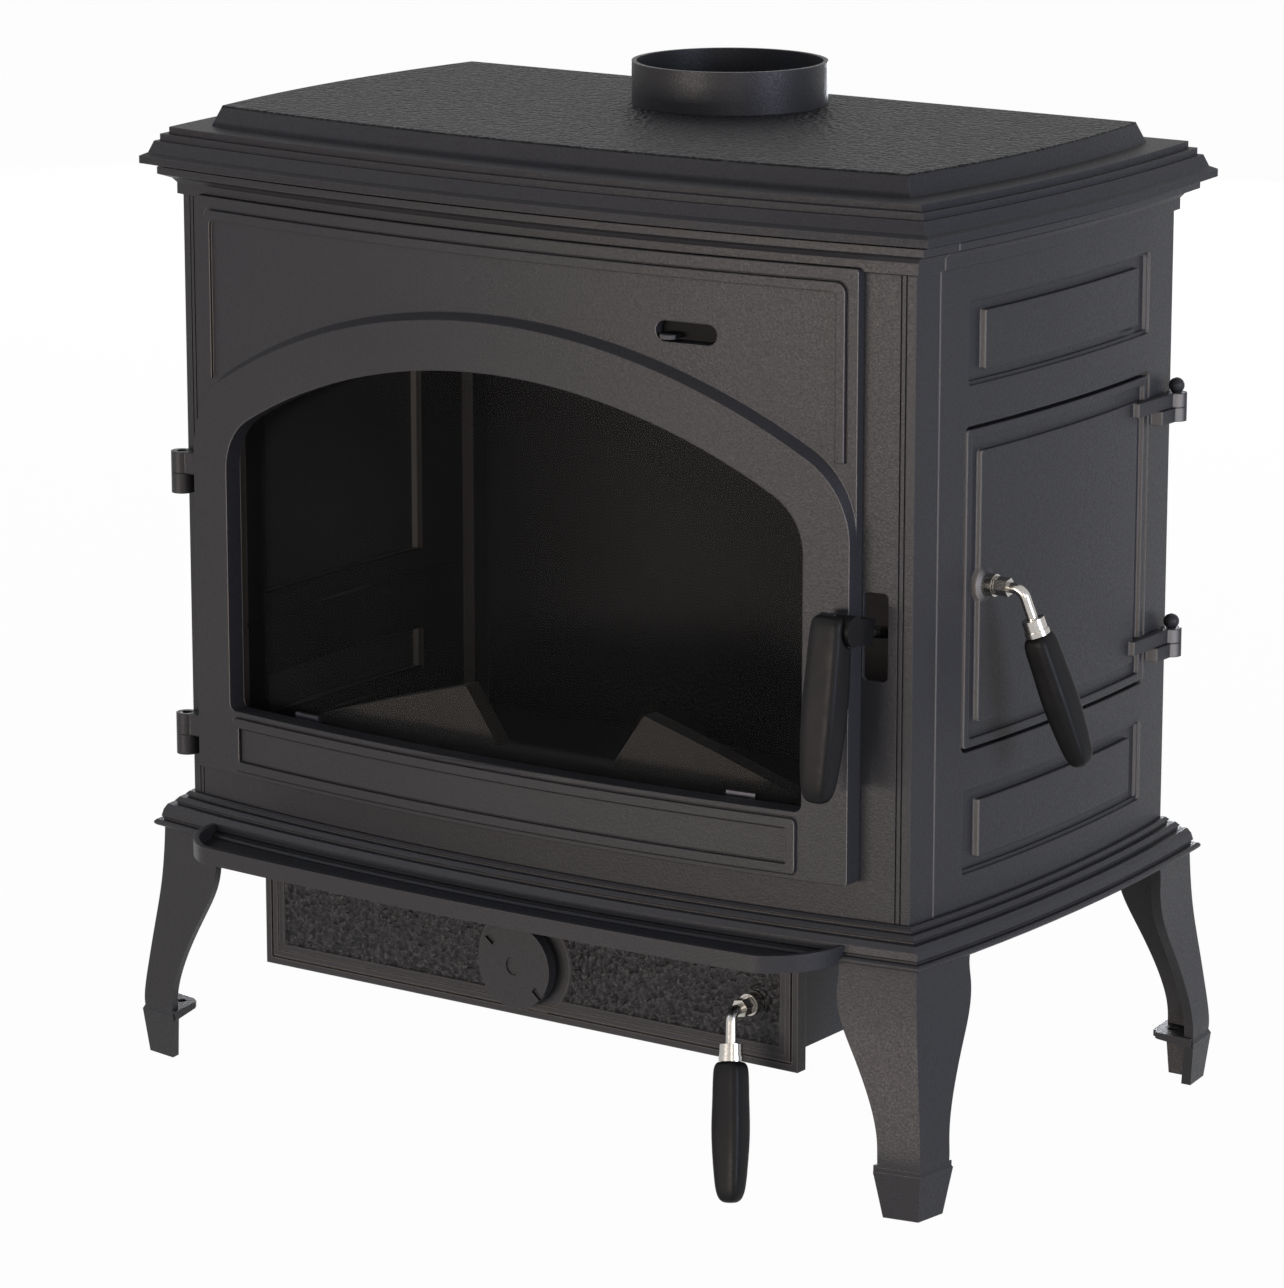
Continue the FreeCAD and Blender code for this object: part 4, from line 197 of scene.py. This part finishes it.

# %% [markdown]
# ## Matt stove paint on sand-cast iron
# The castings are grey iron, poured in sand and sprayed with heat-proof paint. The sand leaves a fine
# grain, the paint dulls it, and thin edges get a paler painted highlight. A picture of paint would repeat,
# so one noise makes the grain and another a slow change of tone, and both follow the stove's real size.

# %% Matt stove paint on sand-cast iron
# Near black and matt: it scatters light, mirrors little, and shows its grain where light grazes it.
PAINT_DARK, PAINT_LIGHT = "#232326", "#29292b"
PAINT_MIRROR = 0.17
# Inside the firebox: painted shade, near black and rough.
FIREBOX_SHADE_BLACK, FIREBOX_ROUGHNESS = "#0f0e0e", 0.9
TONE_MM = 140
# Moulding sand is about 0.3 mm. It is drawn coarser than that, so that the grain shows in the render.
SAND_MM, SAND_DEPTH, SAND_STRENGTH = 1.8, 0.0006, 0.4
GLOSS_SPREAD = 0.08


def stove_paint(name, roughness=0.44, edge_mm=0.8, highlight_card="#4c4b4b", lit_from=None, walls_too=False):
    """Heat-proof paint on cast iron, with painted highlights on its edges and painted shade inside the
    firebox.
    """
    finish, tree, shader, place = blank(name)
    slow = add(tree, "TexNoise", {"Vector": place, "Scale": per_metre(TONE_MM), "Detail": 3.0})
    tone = add(tree, "Mix", {SHARE: slow.outputs["Fac"], FIRST: linear(PAINT_DARK),
                             SECOND: linear(PAINT_LIGHT)}, data_type="RGBA")
    sand = add(tree, "TexNoise", {"Vector": place, "Scale": per_metre(SAND_MM), "Detail": 3.0,
                                  "Roughness": 0.6}).outputs["Fac"]
    speck = add(tree, "MapRange", {"Value": sand, "From Min": 0.3, "From Max": 0.75,
                                   "To Min": 0.80, "To Max": 1.18})
    coat = add(tree, "Mix", {SHARE: 1.0, FIRST: tone.outputs[MIXED], SECOND: speck.outputs[0]},
               data_type="RGBA", blend_type="MULTIPLY")
    rounded = add(tree, "Bevel", {"Radius": edge_mm / 1000}, samples=4).outputs[0]
    # Painted highlight: edges that turn to the light get the paler edge colour.
    painted_highlight = painted_edge_highlight(tree, rounded, lit_from, walls_too)
    highlighted_coat = add(tree, "Mix", {SHARE: painted_highlight, FIRST: coat.outputs[MIXED], SECOND: linear(highlight_card)},
               data_type="RGBA")
    # Painted shade inside the firebox.
    firebox_shade = fireside(tree, place)
    black = add(tree, "Mix", {SHARE: firebox_shade, FIRST: highlighted_coat.outputs[MIXED], SECOND: linear(FIREBOX_SHADE_BLACK)},
                data_type="RGBA")
    gloss = add(tree, "MapRange", {"Value": sand, "From Min": 0.3, "From Max": 0.7,
                                   "To Min": roughness + GLOSS_SPREAD, "To Max": roughness - GLOSS_SPREAD})
    sheen = add(tree, "Mix", {"Factor": firebox_shade, "A": gloss.outputs[0], "B": FIREBOX_ROUGHNESS})
    bump = add(tree, "Bump", {"Strength": SAND_STRENGTH, "Distance": SAND_DEPTH, "Height": sand,
                              "Normal": rounded})
    shader.inputs["Specular IOR Level"].default_value = PAINT_MIRROR
    tree.links.new(black.outputs[MIXED], shader.inputs["Base Color"])
    tree.links.new(sheen.outputs[0], shader.inputs["Roughness"])
    tree.links.new(bump.outputs[0], shader.inputs["Normal"])
    return finish


painted_iron = stove_paint("matt_stove_paint_on_sand_cast_iron")
give(painted_iron, "front_frame", "back_panel", "base_plate", "ash_lip", "flue_collar", "leg_front_right",
     "leg_front_left", "leg_rear_right", "leg_rear_left", "air_dial", "front_hinge_pins",
     "side_hinge_pins", "collar_bolts", "leg_bolts", "ash_hinge_pins", "ash_box")

# %% [markdown]
# ## Sides with painted edge highlights
# The fields of the side panels and of the side door have broad soft edges. The edges and narrow walls that
# turn to the front catch the light from there, so they get a paler painted highlight. It is the same paint
# with a wider bevel and a paler edge, and only how far the rounded normal turns to the front counts.

# %% Sides with painted edge highlights
# Painted highlight on the edges and walls that turn to the front.
sides_with_painted_highlights = stove_paint("matt_stove_paint_with_painted_edge_highlights", edge_mm=2.0, highlight_card="#a39e98",
                           lit_from=(0, -1, 0), walls_too=True)
give(sides_with_painted_highlights, "side_panel_right", "side_panel_left", "side_door")

# %% [markdown]
# ## Door with painted bead highlights
# The arch and the beads of the front door have a fine pale line along each edge that turns to the right: a
# painted highlight where they catch the light from that side. Here only the edge itself counts, so the walls
# of the casting keep their paint.

# %% Door with painted bead highlights
# Painted highlight along the edges that turn to the right.
door_with_painted_highlights = stove_paint("matt_stove_paint_with_painted_bead_highlights", edge_mm=1.4, highlight_card="#b5b0aa",
                          lit_from=(1, 0, 0))
give(door_with_painted_highlights, "front_door")

# %% [markdown]
# ## Lumps on a casting
# Two castings have a lively face of small rounded lumps that were pressed into the sand mould. A cell
# pattern gives the distance from the middle of each lump. It raises the lumps through a Bump node, paints
# the creases between them darker as painted shade, and can paint the crests paler as a painted highlight.
# A mask keeps the lumps where the casting has them.

# %% Lumps on a casting
LUMP_HEIGHT = 0.0035


def reopen(finish):
    """The tree, the surface shader and the stove's coordinates of a finish that is already made."""
    tree = finish.node_tree
    return tree, tree.nodes["Principled BSDF"], tree.nodes["Texture Coordinate"].outputs["Object"]


def feeding(shader, name):
    """What already feeds an input of the surface shader."""
    return shader.inputs[name].links[0].from_socket


def raise_lumps(finish, mask, lump_mm, crest, crease, share):
    """Raise lumps where the mask is one. A crest and a crease are each a distance and a brightness there: a
    painted highlight on the crests and painted shade in the creases.
    """
    tree, shader, place = reopen(finish)
    lumps = add(tree, "TexVoronoi", {"Vector": place, "Scale": per_metre(lump_mm)}, feature="SMOOTH_F1")
    sunk = add(tree, "Math", {0: lumps.outputs["Distance"], 1: mask}, operation="MULTIPLY").outputs[0]
    height = add(tree, "Math", {0: 1.0, 1: sunk}, operation="SUBTRACT")
    relief = add(tree, "Bump", {"Strength": 1.0, "Distance": LUMP_HEIGHT, "Height": height.outputs[0],
                                "Normal": feeding(shader, "Normal")})
    # Painted shade in the creases and painted highlight on the crests.
    shade = add(tree, "MapRange", {"Value": sunk, "From Min": crest[0], "From Max": crease[0],
                                   "To Min": crest[1], "To Max": crease[1]})
    coat = add(tree, "Mix", {SHARE: share, FIRST: feeding(shader, "Base Color"), SECOND: shade.outputs[0]},
               data_type="RGBA", blend_type="MULTIPLY")
    tree.links.new(relief.outputs[0], shader.inputs["Normal"])
    tree.links.new(coat.outputs[MIXED], shader.inputs["Base Color"])


print("lumps stand at most mm:", LUMP_HEIGHT * 1000)

# %% [markdown]
# ## Pebbled top panel
# The raised middle of the top plate is cast with a leathery pebble. It is the same paint with lumps, with a
# little painted highlight on their crests and painted shade in the creases. The panel is the highest part
# of the plate, so height on the stove alone decides where the pebble starts.

# %% Pebbled top panel
PEBBLE_MM = 3.8
PEBBLE_STARTS, PEBBLE_FULL = 0.0015, 0.0005
TOP_MIRROR = 0.10
pebbled_top = stove_paint("pebbled_cast_top", roughness=0.5)
tree, shader, place = reopen(pebbled_top)
panel_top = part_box("top_plate")[1].z
level = add(tree, "SeparateXYZ", {0: place}).outputs["Z"]
panel = add(tree, "MapRange", {"Value": level, "From Min": panel_top - PEBBLE_STARTS,
                               "From Max": panel_top - PEBBLE_FULL})
# Crests painted a little lighter as painted highlight, creases darker as painted shade.
raise_lumps(pebbled_top, panel.outputs[0], PEBBLE_MM, crest=(0.15, 1.1), crease=(0.6, 0.45), share=1.0)
shader.inputs["Specular IOR Level"].default_value = TOP_MIRROR
give(pebbled_top, "top_plate")
print("panel top at:", round(panel_top, 4))

# %% [markdown]
# ## Hammered ash door
# The field of the ash door looks like iron that was beaten with a small round hammer: raised lumps, with
# painted highlight on their crests and painted shade in the creases between them. Its border bead and the
# round pad behind the dial are smooth, and the door's edges get a paler painted highlight. Three soft
# masks, from the boxes of the door and of the dial, keep the lumps inside the field.

# %% Hammered ash door
HAMMER_MM = 3.2
DOOR_BORDER, PAD_RADIUS, FIELD_FADE = 0.0167, 0.0425, 0.0015
# Paler painted highlight on the door's edges and rim.
hammered = stove_paint("hammered_cast_ash_door", edge_mm=1.6, highlight_card="#75716d")
tree, shader, place = reopen(hammered)
door_low, door_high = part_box("ash_door")
dial_low, dial_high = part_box("air_dial")
away = off_middle(tree, place, (door_low + door_high) / 2)
away = add(tree, "SeparateXYZ", {0: away}).outputs
field_half = (door_high - door_low) / 2 - Vector((DOOR_BORDER, 0, DOOR_BORDER))
in_width = add(tree, "MapRange", {"Value": away["X"], "From Min": field_half.x,
                                  "From Max": field_half.x - FIELD_FADE})
in_height = add(tree, "MapRange", {"Value": away["Z"], "From Min": field_half.z,
                                   "From Max": field_half.z - FIELD_FADE})
pad_middle = ((dial_low.x + dial_high.x) / 2, dial_high.y, (dial_low.z + dial_high.z) / 2)
from_dial = add(tree, "VectorMath", {0: place, 1: pad_middle}, operation="DISTANCE")
off_pad = add(tree, "MapRange", {"Value": from_dial.outputs["Value"], "From Min": PAD_RADIUS,
                                 "From Max": PAD_RADIUS + FIELD_FADE})
field = add(tree, "Math", {0: in_width.outputs[0], 1: in_height.outputs[0]}, operation="MULTIPLY")
field = add(tree, "Math", {0: field.outputs[0], 1: off_pad.outputs[0]}, operation="MULTIPLY").outputs[0]
# Painted highlight on the crests, painted shade in the creases.
raise_lumps(hammered, field, HAMMER_MM, crest=(0.2, 1.35), crease=(0.62, 0.25), share=field)
give(hammered, "ash_door")
print("half width and height of the field:", round(field_half.x, 4), round(field_half.z, 4))

# %% [markdown]
# ## Polished and plated steel
# The bent rods, nuts and ferrules of the handles are turned steel with a polish, which gives clean
# streaks of light. The screws and latches behind are zinc plated and duller, and the clips of the window
# are blued spring steel. A noise that is squeezed along one axis leaves faint bands, as turning does.

# %% Polished and plated steel
# Real marks of turning are finer than this. They are drawn coarser, so that they break up the highlights.
TURNING_MM, TURNING_DEPTH = 2.5, 0.0002
TURNING_STRETCH = (1.0, 1.0, 6.0)


def steel(name, card, roughness, scratch):
    """Bare or plated steel: a metal that mirrors its surroundings through faint marks of turning."""
    finish, tree, shader, place = blank(name)
    stretch = add(tree, "Mapping", {"Vector": place, "Scale": TURNING_STRETCH})
    turned = add(tree, "TexNoise", {"Vector": stretch.outputs[0], "Scale": per_metre(TURNING_MM),
                                    "Detail": 4.0}).outputs["Fac"]
    rough = add(tree, "MapRange", {"Value": turned, "From Min": 0.3, "From Max": 0.7,
                                   "To Min": roughness - 0.05, "To Max": roughness + 0.07})
    bump = add(tree, "Bump", {"Strength": scratch, "Distance": TURNING_DEPTH, "Height": turned})
    shader.inputs["Metallic"].default_value = 1.0
    shader.inputs["Base Color"].default_value = linear(card)
    tree.links.new(rough.outputs[0], shader.inputs["Roughness"])
    tree.links.new(bump.outputs[0], shader.inputs["Normal"])
    return finish


polished = steel("turned_and_polished_steel", "#aeaba6", roughness=0.22, scratch=0.015)
plated = steel("zinc_plated_steel", "#a3a3a1", roughness=0.38, scratch=0.1)
blued = steel("blued_spring_steel", "#4b4c52", roughness=0.45, scratch=0.1)
give(polished, "side_handle_shaft", "side_handle_nut", "side_handle_ferrule", "ash_handle_shaft",
     "ash_handle_nut", "ash_handle_ferrule", "latch_tongue", "side_spindle_bush", "ash_spindle_bush")
give(plated, "clip_screws", "side_latch", "ash_latch", "dial_screw")
give(blued, "glass_clips")

# %% [markdown]
# ## Moulded grips
# The grips are phenolic plastic, pressed in a steel mould and left satin. It stays cool to hold. A faint,
# wide unevenness keeps the highlights from looking drawn with a ruler. The hub of the front handle and
# its pin are black to match.

# %% Moulded grips
# Satin black: broad, dim highlights and almost no colour. The IOR is a usual one for plastic, and the mirror
# image is weakened to match the grips.
WAVE_MM, WAVE_DEPTH = 9, 0.0006
PHENOLIC_IOR, GRIP_MIRROR = 1.5, 0.1
grip_black, tree, shader, place = blank("pressed_phenolic_satin_black")
wave = add(tree, "TexNoise", {"Vector": place, "Scale": per_metre(WAVE_MM), "Detail": 2.0}).outputs["Fac"]
rough = add(tree, "MapRange", {"Value": wave, "From Min": 0.3, "From Max": 0.7,
                               "To Min": 0.40, "To Max": 0.50})
tone = add(tree, "Mix", {SHARE: wave, FIRST: linear("#0b0b0c"), SECOND: linear("#111112")}, data_type="RGBA")
bump = add(tree, "Bump", {"Strength": 0.12, "Distance": WAVE_DEPTH, "Height": wave})
tree.links.new(tone.outputs[MIXED], shader.inputs["Base Color"])
tree.links.new(rough.outputs[0], shader.inputs["Roughness"])
tree.links.new(bump.outputs[0], shader.inputs["Normal"])
shader.inputs["IOR"].default_value = PHENOLIC_IOR
shader.inputs["Specular IOR Level"].default_value = GRIP_MIRROR
give(grip_black, "front_grip", "side_handle_grip", "ash_handle_grip", "front_latch", "handle_pin")

# %% [markdown]
# ## Eased edges of the grips
# The solids of the grips have flat sides that meet in clear edges, and a moulded grip has none. A Bevel
# modifier would leave bands of its own, so a fine even skin is laid over each grip and then smoothed,
# which rounds all the edges alike.

# %% Eased edges of the grips
SKIN_CELL = 0.0011
EASING, EASING_ROUNDS = 0.5, 40
for name in ("front_grip", "side_handle_grip", "ash_handle_grip"):
    skin = nodes[name].modifiers.new("even_skin", "REMESH")
    skin.mode = "VOXEL"
    skin.voxel_size = SKIN_CELL
    skin.use_smooth_shade = True
    ease = nodes[name].modifiers.new("eased_edges", "SMOOTH")
    ease.factor = EASING
    ease.iterations = EASING_ROUNDS
    print("eased:", name)

# %% [markdown]
# ## Window
# The window is a thin pane of clear ceramic glass, so the eye goes straight into the dark firebox and
# meets only a faint mirror image. A full glass shader would cast a dark shadow into the firebox. A pane as
# thin as this hardly bends light, so most of it is left open with alpha, and the small rest is a smooth
# black gloss, which is the mirror image and the haze that smoke leaves.

# %% Window
SMOKE_MM = 120
HAZE_LEAST, HAZE_MOST = 0.04, 0.08
GLASS_IOR, GLASS_ROUGHNESS = 1.5, 0.04
window, tree, shader, place = blank("clear_ceramic_glass_pane")
smoke = add(tree, "TexNoise", {"Vector": place, "Scale": per_metre(SMOKE_MM), "Detail": 3.0})
haze = add(tree, "MapRange", {"Value": smoke.outputs["Fac"], "From Min": 0.3, "From Max": 0.7,
                              "To Min": HAZE_LEAST, "To Max": HAZE_MOST})
tree.links.new(haze.outputs[0], shader.inputs["Alpha"])
shader.inputs["Base Color"].default_value = linear("#0b0b0b")
shader.inputs["Roughness"].default_value = GLASS_ROUGHNESS
shader.inputs["IOR"].default_value = GLASS_IOR
give(window, "door_glass")

# %% [markdown]
# ## Fibre rope, firebox plates and sheet steel
# Seals are braided glass fibre, off-white and matt. The plates in the firebox are bare cast iron, browned
# by heat. The ash pan and the guide of the air slider are folded sheet with black paint. All three are
# dull and hardly seen, so one noise gives each its blotches and its relief, at its own size.

# %% Fibre rope, firebox plates and sheet steel
SHEET_DARK, SHEET_LIGHT = "#0d0d0e", "#131313"
SHEET_MM, SHEET_DEPTH, SHEET_MIRROR = 30.0, 0.0002, 0.06


def rough_finish(name, card, other_card, cell_mm, roughness, depth, mirror=0.5):
    """A dull surface with blotches of two colours and a relief of the same cells."""
    finish, tree, shader, place = blank(name)
    cells = add(tree, "TexNoise", {"Vector": place, "Scale": per_metre(cell_mm), "Detail": 5.0,
                                   "Roughness": 0.65}).outputs["Fac"]
    tone = add(tree, "Mix", {SHARE: cells, FIRST: linear(card), SECOND: linear(other_card)},
               data_type="RGBA")
    relief = add(tree, "Bump", {"Strength": 0.6, "Distance": depth, "Height": cells})
    tree.links.new(tone.outputs[MIXED], shader.inputs["Base Color"])
    tree.links.new(relief.outputs[0], shader.inputs["Normal"])
    shader.inputs["Roughness"].default_value = roughness
    shader.inputs["Specular IOR Level"].default_value = mirror
    return finish


rope = rough_finish("braided_glass_fibre", "#8b877c", "#b3afa4", cell_mm=2.0, roughness=0.9, depth=0.001)
fire_iron = rough_finish("bare_cast_iron_browned_by_heat", "#1f1e1d", "#2a2826", cell_mm=12.0, roughness=0.7,
                         depth=0.0006, mirror=0.15)
sheet = rough_finish("black_painted_sheet_steel", SHEET_DARK, SHEET_LIGHT, SHEET_MM, roughness=0.7,
                     depth=SHEET_DEPTH, mirror=SHEET_MIRROR)
give(rope, "glass_gasket", "door_rope_seal", "side_door_seal", "ash_door_seal")
give(fire_iron, "grate", "log_guard", "baffle_plate")
give(sheet, "ash_pan", "air_guide")

# %% [markdown]
# ## Air slider
# The slider is the same black sheet, and its black also paints the shade in the slot behind the tab. The
# round tab stands out into the light, so it is painted grey as a painted highlight. Only the front six
# millimetres stand out of the slot, so the depth of the piece says where the painted highlight ends.

# %% Air slider
TAB_DEPTH, TAB_FADE = 0.006, 0.001
# Grey painted highlight on the tab, which stands out into the light.
TAB_HIGHLIGHT_GREY = "#434344"
slide = rough_finish("black_sheet_steel_with_painted_highlight_on_tab", SHEET_DARK, SHEET_LIGHT, SHEET_MM, roughness=0.6,
                     depth=SHEET_DEPTH, mirror=SHEET_MIRROR)
tree, shader, place = reopen(slide)
tab_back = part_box("air_slider")[0].y + TAB_DEPTH
depth = add(tree, "SeparateXYZ", {0: place}).outputs["Y"]
tab = add(tree, "MapRange", {"Value": depth, "From Min": tab_back, "From Max": tab_back - TAB_FADE})
# Painted highlight: the tab is painted grey.
painted_highlight = add(tree, "Mix", {SHARE: tab.outputs[0], FIRST: feeding(shader, "Base Color"),
                           SECOND: linear(TAB_HIGHLIGHT_GREY)}, data_type="RGBA")
tree.links.new(painted_highlight.outputs[MIXED], shader.inputs["Base Color"])
give(slide, "air_slider")
print("rubbing ends at:", round(tab_back, 4))

# %% [markdown]
# ## Pale floor
# The stove stands on a plain pale floor. More light would wash out the iron, so the floor shows as white
# in another way: rays from the camera, from mirrors and through glass see it mostly as a white light, and
# all other light sees a matt pale board. The small rest lets a trace of the stove's shadow show.

# %% Pale floor
FLOOR_REACH = 30.0
FLOOR_WHITE = 0.97


def seen_rays(tree):
    """One for rays from the camera, from mirrors and through glass, and nought for other light."""
    path = add(tree, "LightPath").outputs
    seen = add(tree, "Math", {0: path["Is Camera Ray"], 1: path["Is Glossy Ray"]}, operation="MAXIMUM")
    return add(tree, "Math", {0: seen.outputs[0], 1: path["Is Transmission Ray"]},
               operation="MAXIMUM").outputs[0]


floor_mesh = bpy.data.meshes.new("studio_floor")
corners = [(FLOOR_REACH * x, FLOOR_REACH * y, 0) for x, y in ((-1, -1), (1, -1), (1, 1), (-1, 1))]
floor_mesh.from_pydata(corners, [], [(0, 1, 2, 3)])
floor = bpy.data.objects.new("studio_floor", floor_mesh)
scene.collection.objects.link(floor)
pale, tree, shader, place = blank("pale_studio_floor")
shader.inputs["Base Color"].default_value = linear("#e8e8e8")
shader.inputs["Roughness"].default_value = 0.9
share = add(tree, "Math", {0: seen_rays(tree), 1: FLOOR_WHITE}, operation="MULTIPLY")
white = add(tree, "Emission", {"Color": (1, 1, 1, 1), "Strength": 1.0})
both = add(tree, "MixShader", {0: share.outputs[0], 1: shader.outputs[0], 2: white.outputs[0]})
tree.links.new(both.outputs[0], tree.nodes["Material Output"].inputs["Surface"])
floor_mesh.materials.append(pale)
print("floor reaches metres:", FLOOR_REACH)

# %% [markdown]
# ## White surround
# Behind the floor is a plain white surround. The same rays see it at full white, and as a light on the
# stove it is much weaker, so that the lamps shape the iron.

# %% White surround
SURROUND_LIGHT, SURROUND_WHITE = 0.28, 1.0
world = bpy.data.worlds.new("studio_surround")
scene.world = world
world.use_nodes = True
tree = world.node_tree
level = add(tree, "MapRange", {"Value": seen_rays(tree), "To Min": SURROUND_LIGHT, "To Max": SURROUND_WHITE})
backdrop = tree.nodes["Background"]
backdrop.inputs["Color"].default_value = (1, 1, 1, 1)
tree.links.new(level.outputs[0], backdrop.inputs["Strength"])
print("surround as a light:", SURROUND_LIGHT)

# %% [markdown]
# ## Lamps
# Five soft lamps: a warm one low at the front, a small one at the front right that picks out the edges, a
# cool one at the right side, a weak cool one high at the left, and a low one behind for the back and the
# left side. The lamps stay moderate so that the greys render as they are written.

# %% Lamps
WARM, COOL, SKY, PLAIN = "#fff0e4", "#dfe7ff", "#c9d8ff", "#f4f6ff"


def soft_lamp(name, place, aim, size, power, card):
    """A soft lamp at a place, turned to what it aims at, with its width and height, watts and colour."""
    data = bpy.data.lights.new(name, "AREA")
    data.shape = "RECTANGLE"
    data.size, data.size_y = size
    data.energy = power
    data.color = linear(card)[:3]
    lamp = bpy.data.objects.new(name, data)
    lamp.location = place
    lamp.rotation_euler = (Vector(aim) - Vector(place)).to_track_quat("-Z", "Y").to_euler()
    lamp.visible_camera = False
    scene.collection.objects.link(lamp)
    print(name, "watts:", power)


soft_lamp("front_lamp", (-1.05, -5.95, 0.25), (0, 0, 0.25), (3.0, 0.5), 285, WARM)
soft_lamp("edge_lamp", (2.3, -2.7, 0.8), (0.2, 0, 0.4), (0.7, 0.7), 22, WARM)
soft_lamp("side_lamp", (4.6, -0.4, 1.0), (0.2, 0, 0.4), (1.6, 1.6), 165, COOL)
soft_lamp("sky_lamp", (-2.4, -2.2, 2.4), (0, 0, 0.5), (2.0, 2.0), 20, SKY)
soft_lamp("back_lamp", (-2.2, 4.2, 0.42), (0, 0, 0.35), (2.4, 0.6), 130, PLAIN)

# %% [markdown]
# ## End of the scene

# %% End of the scene
print("scene ready")
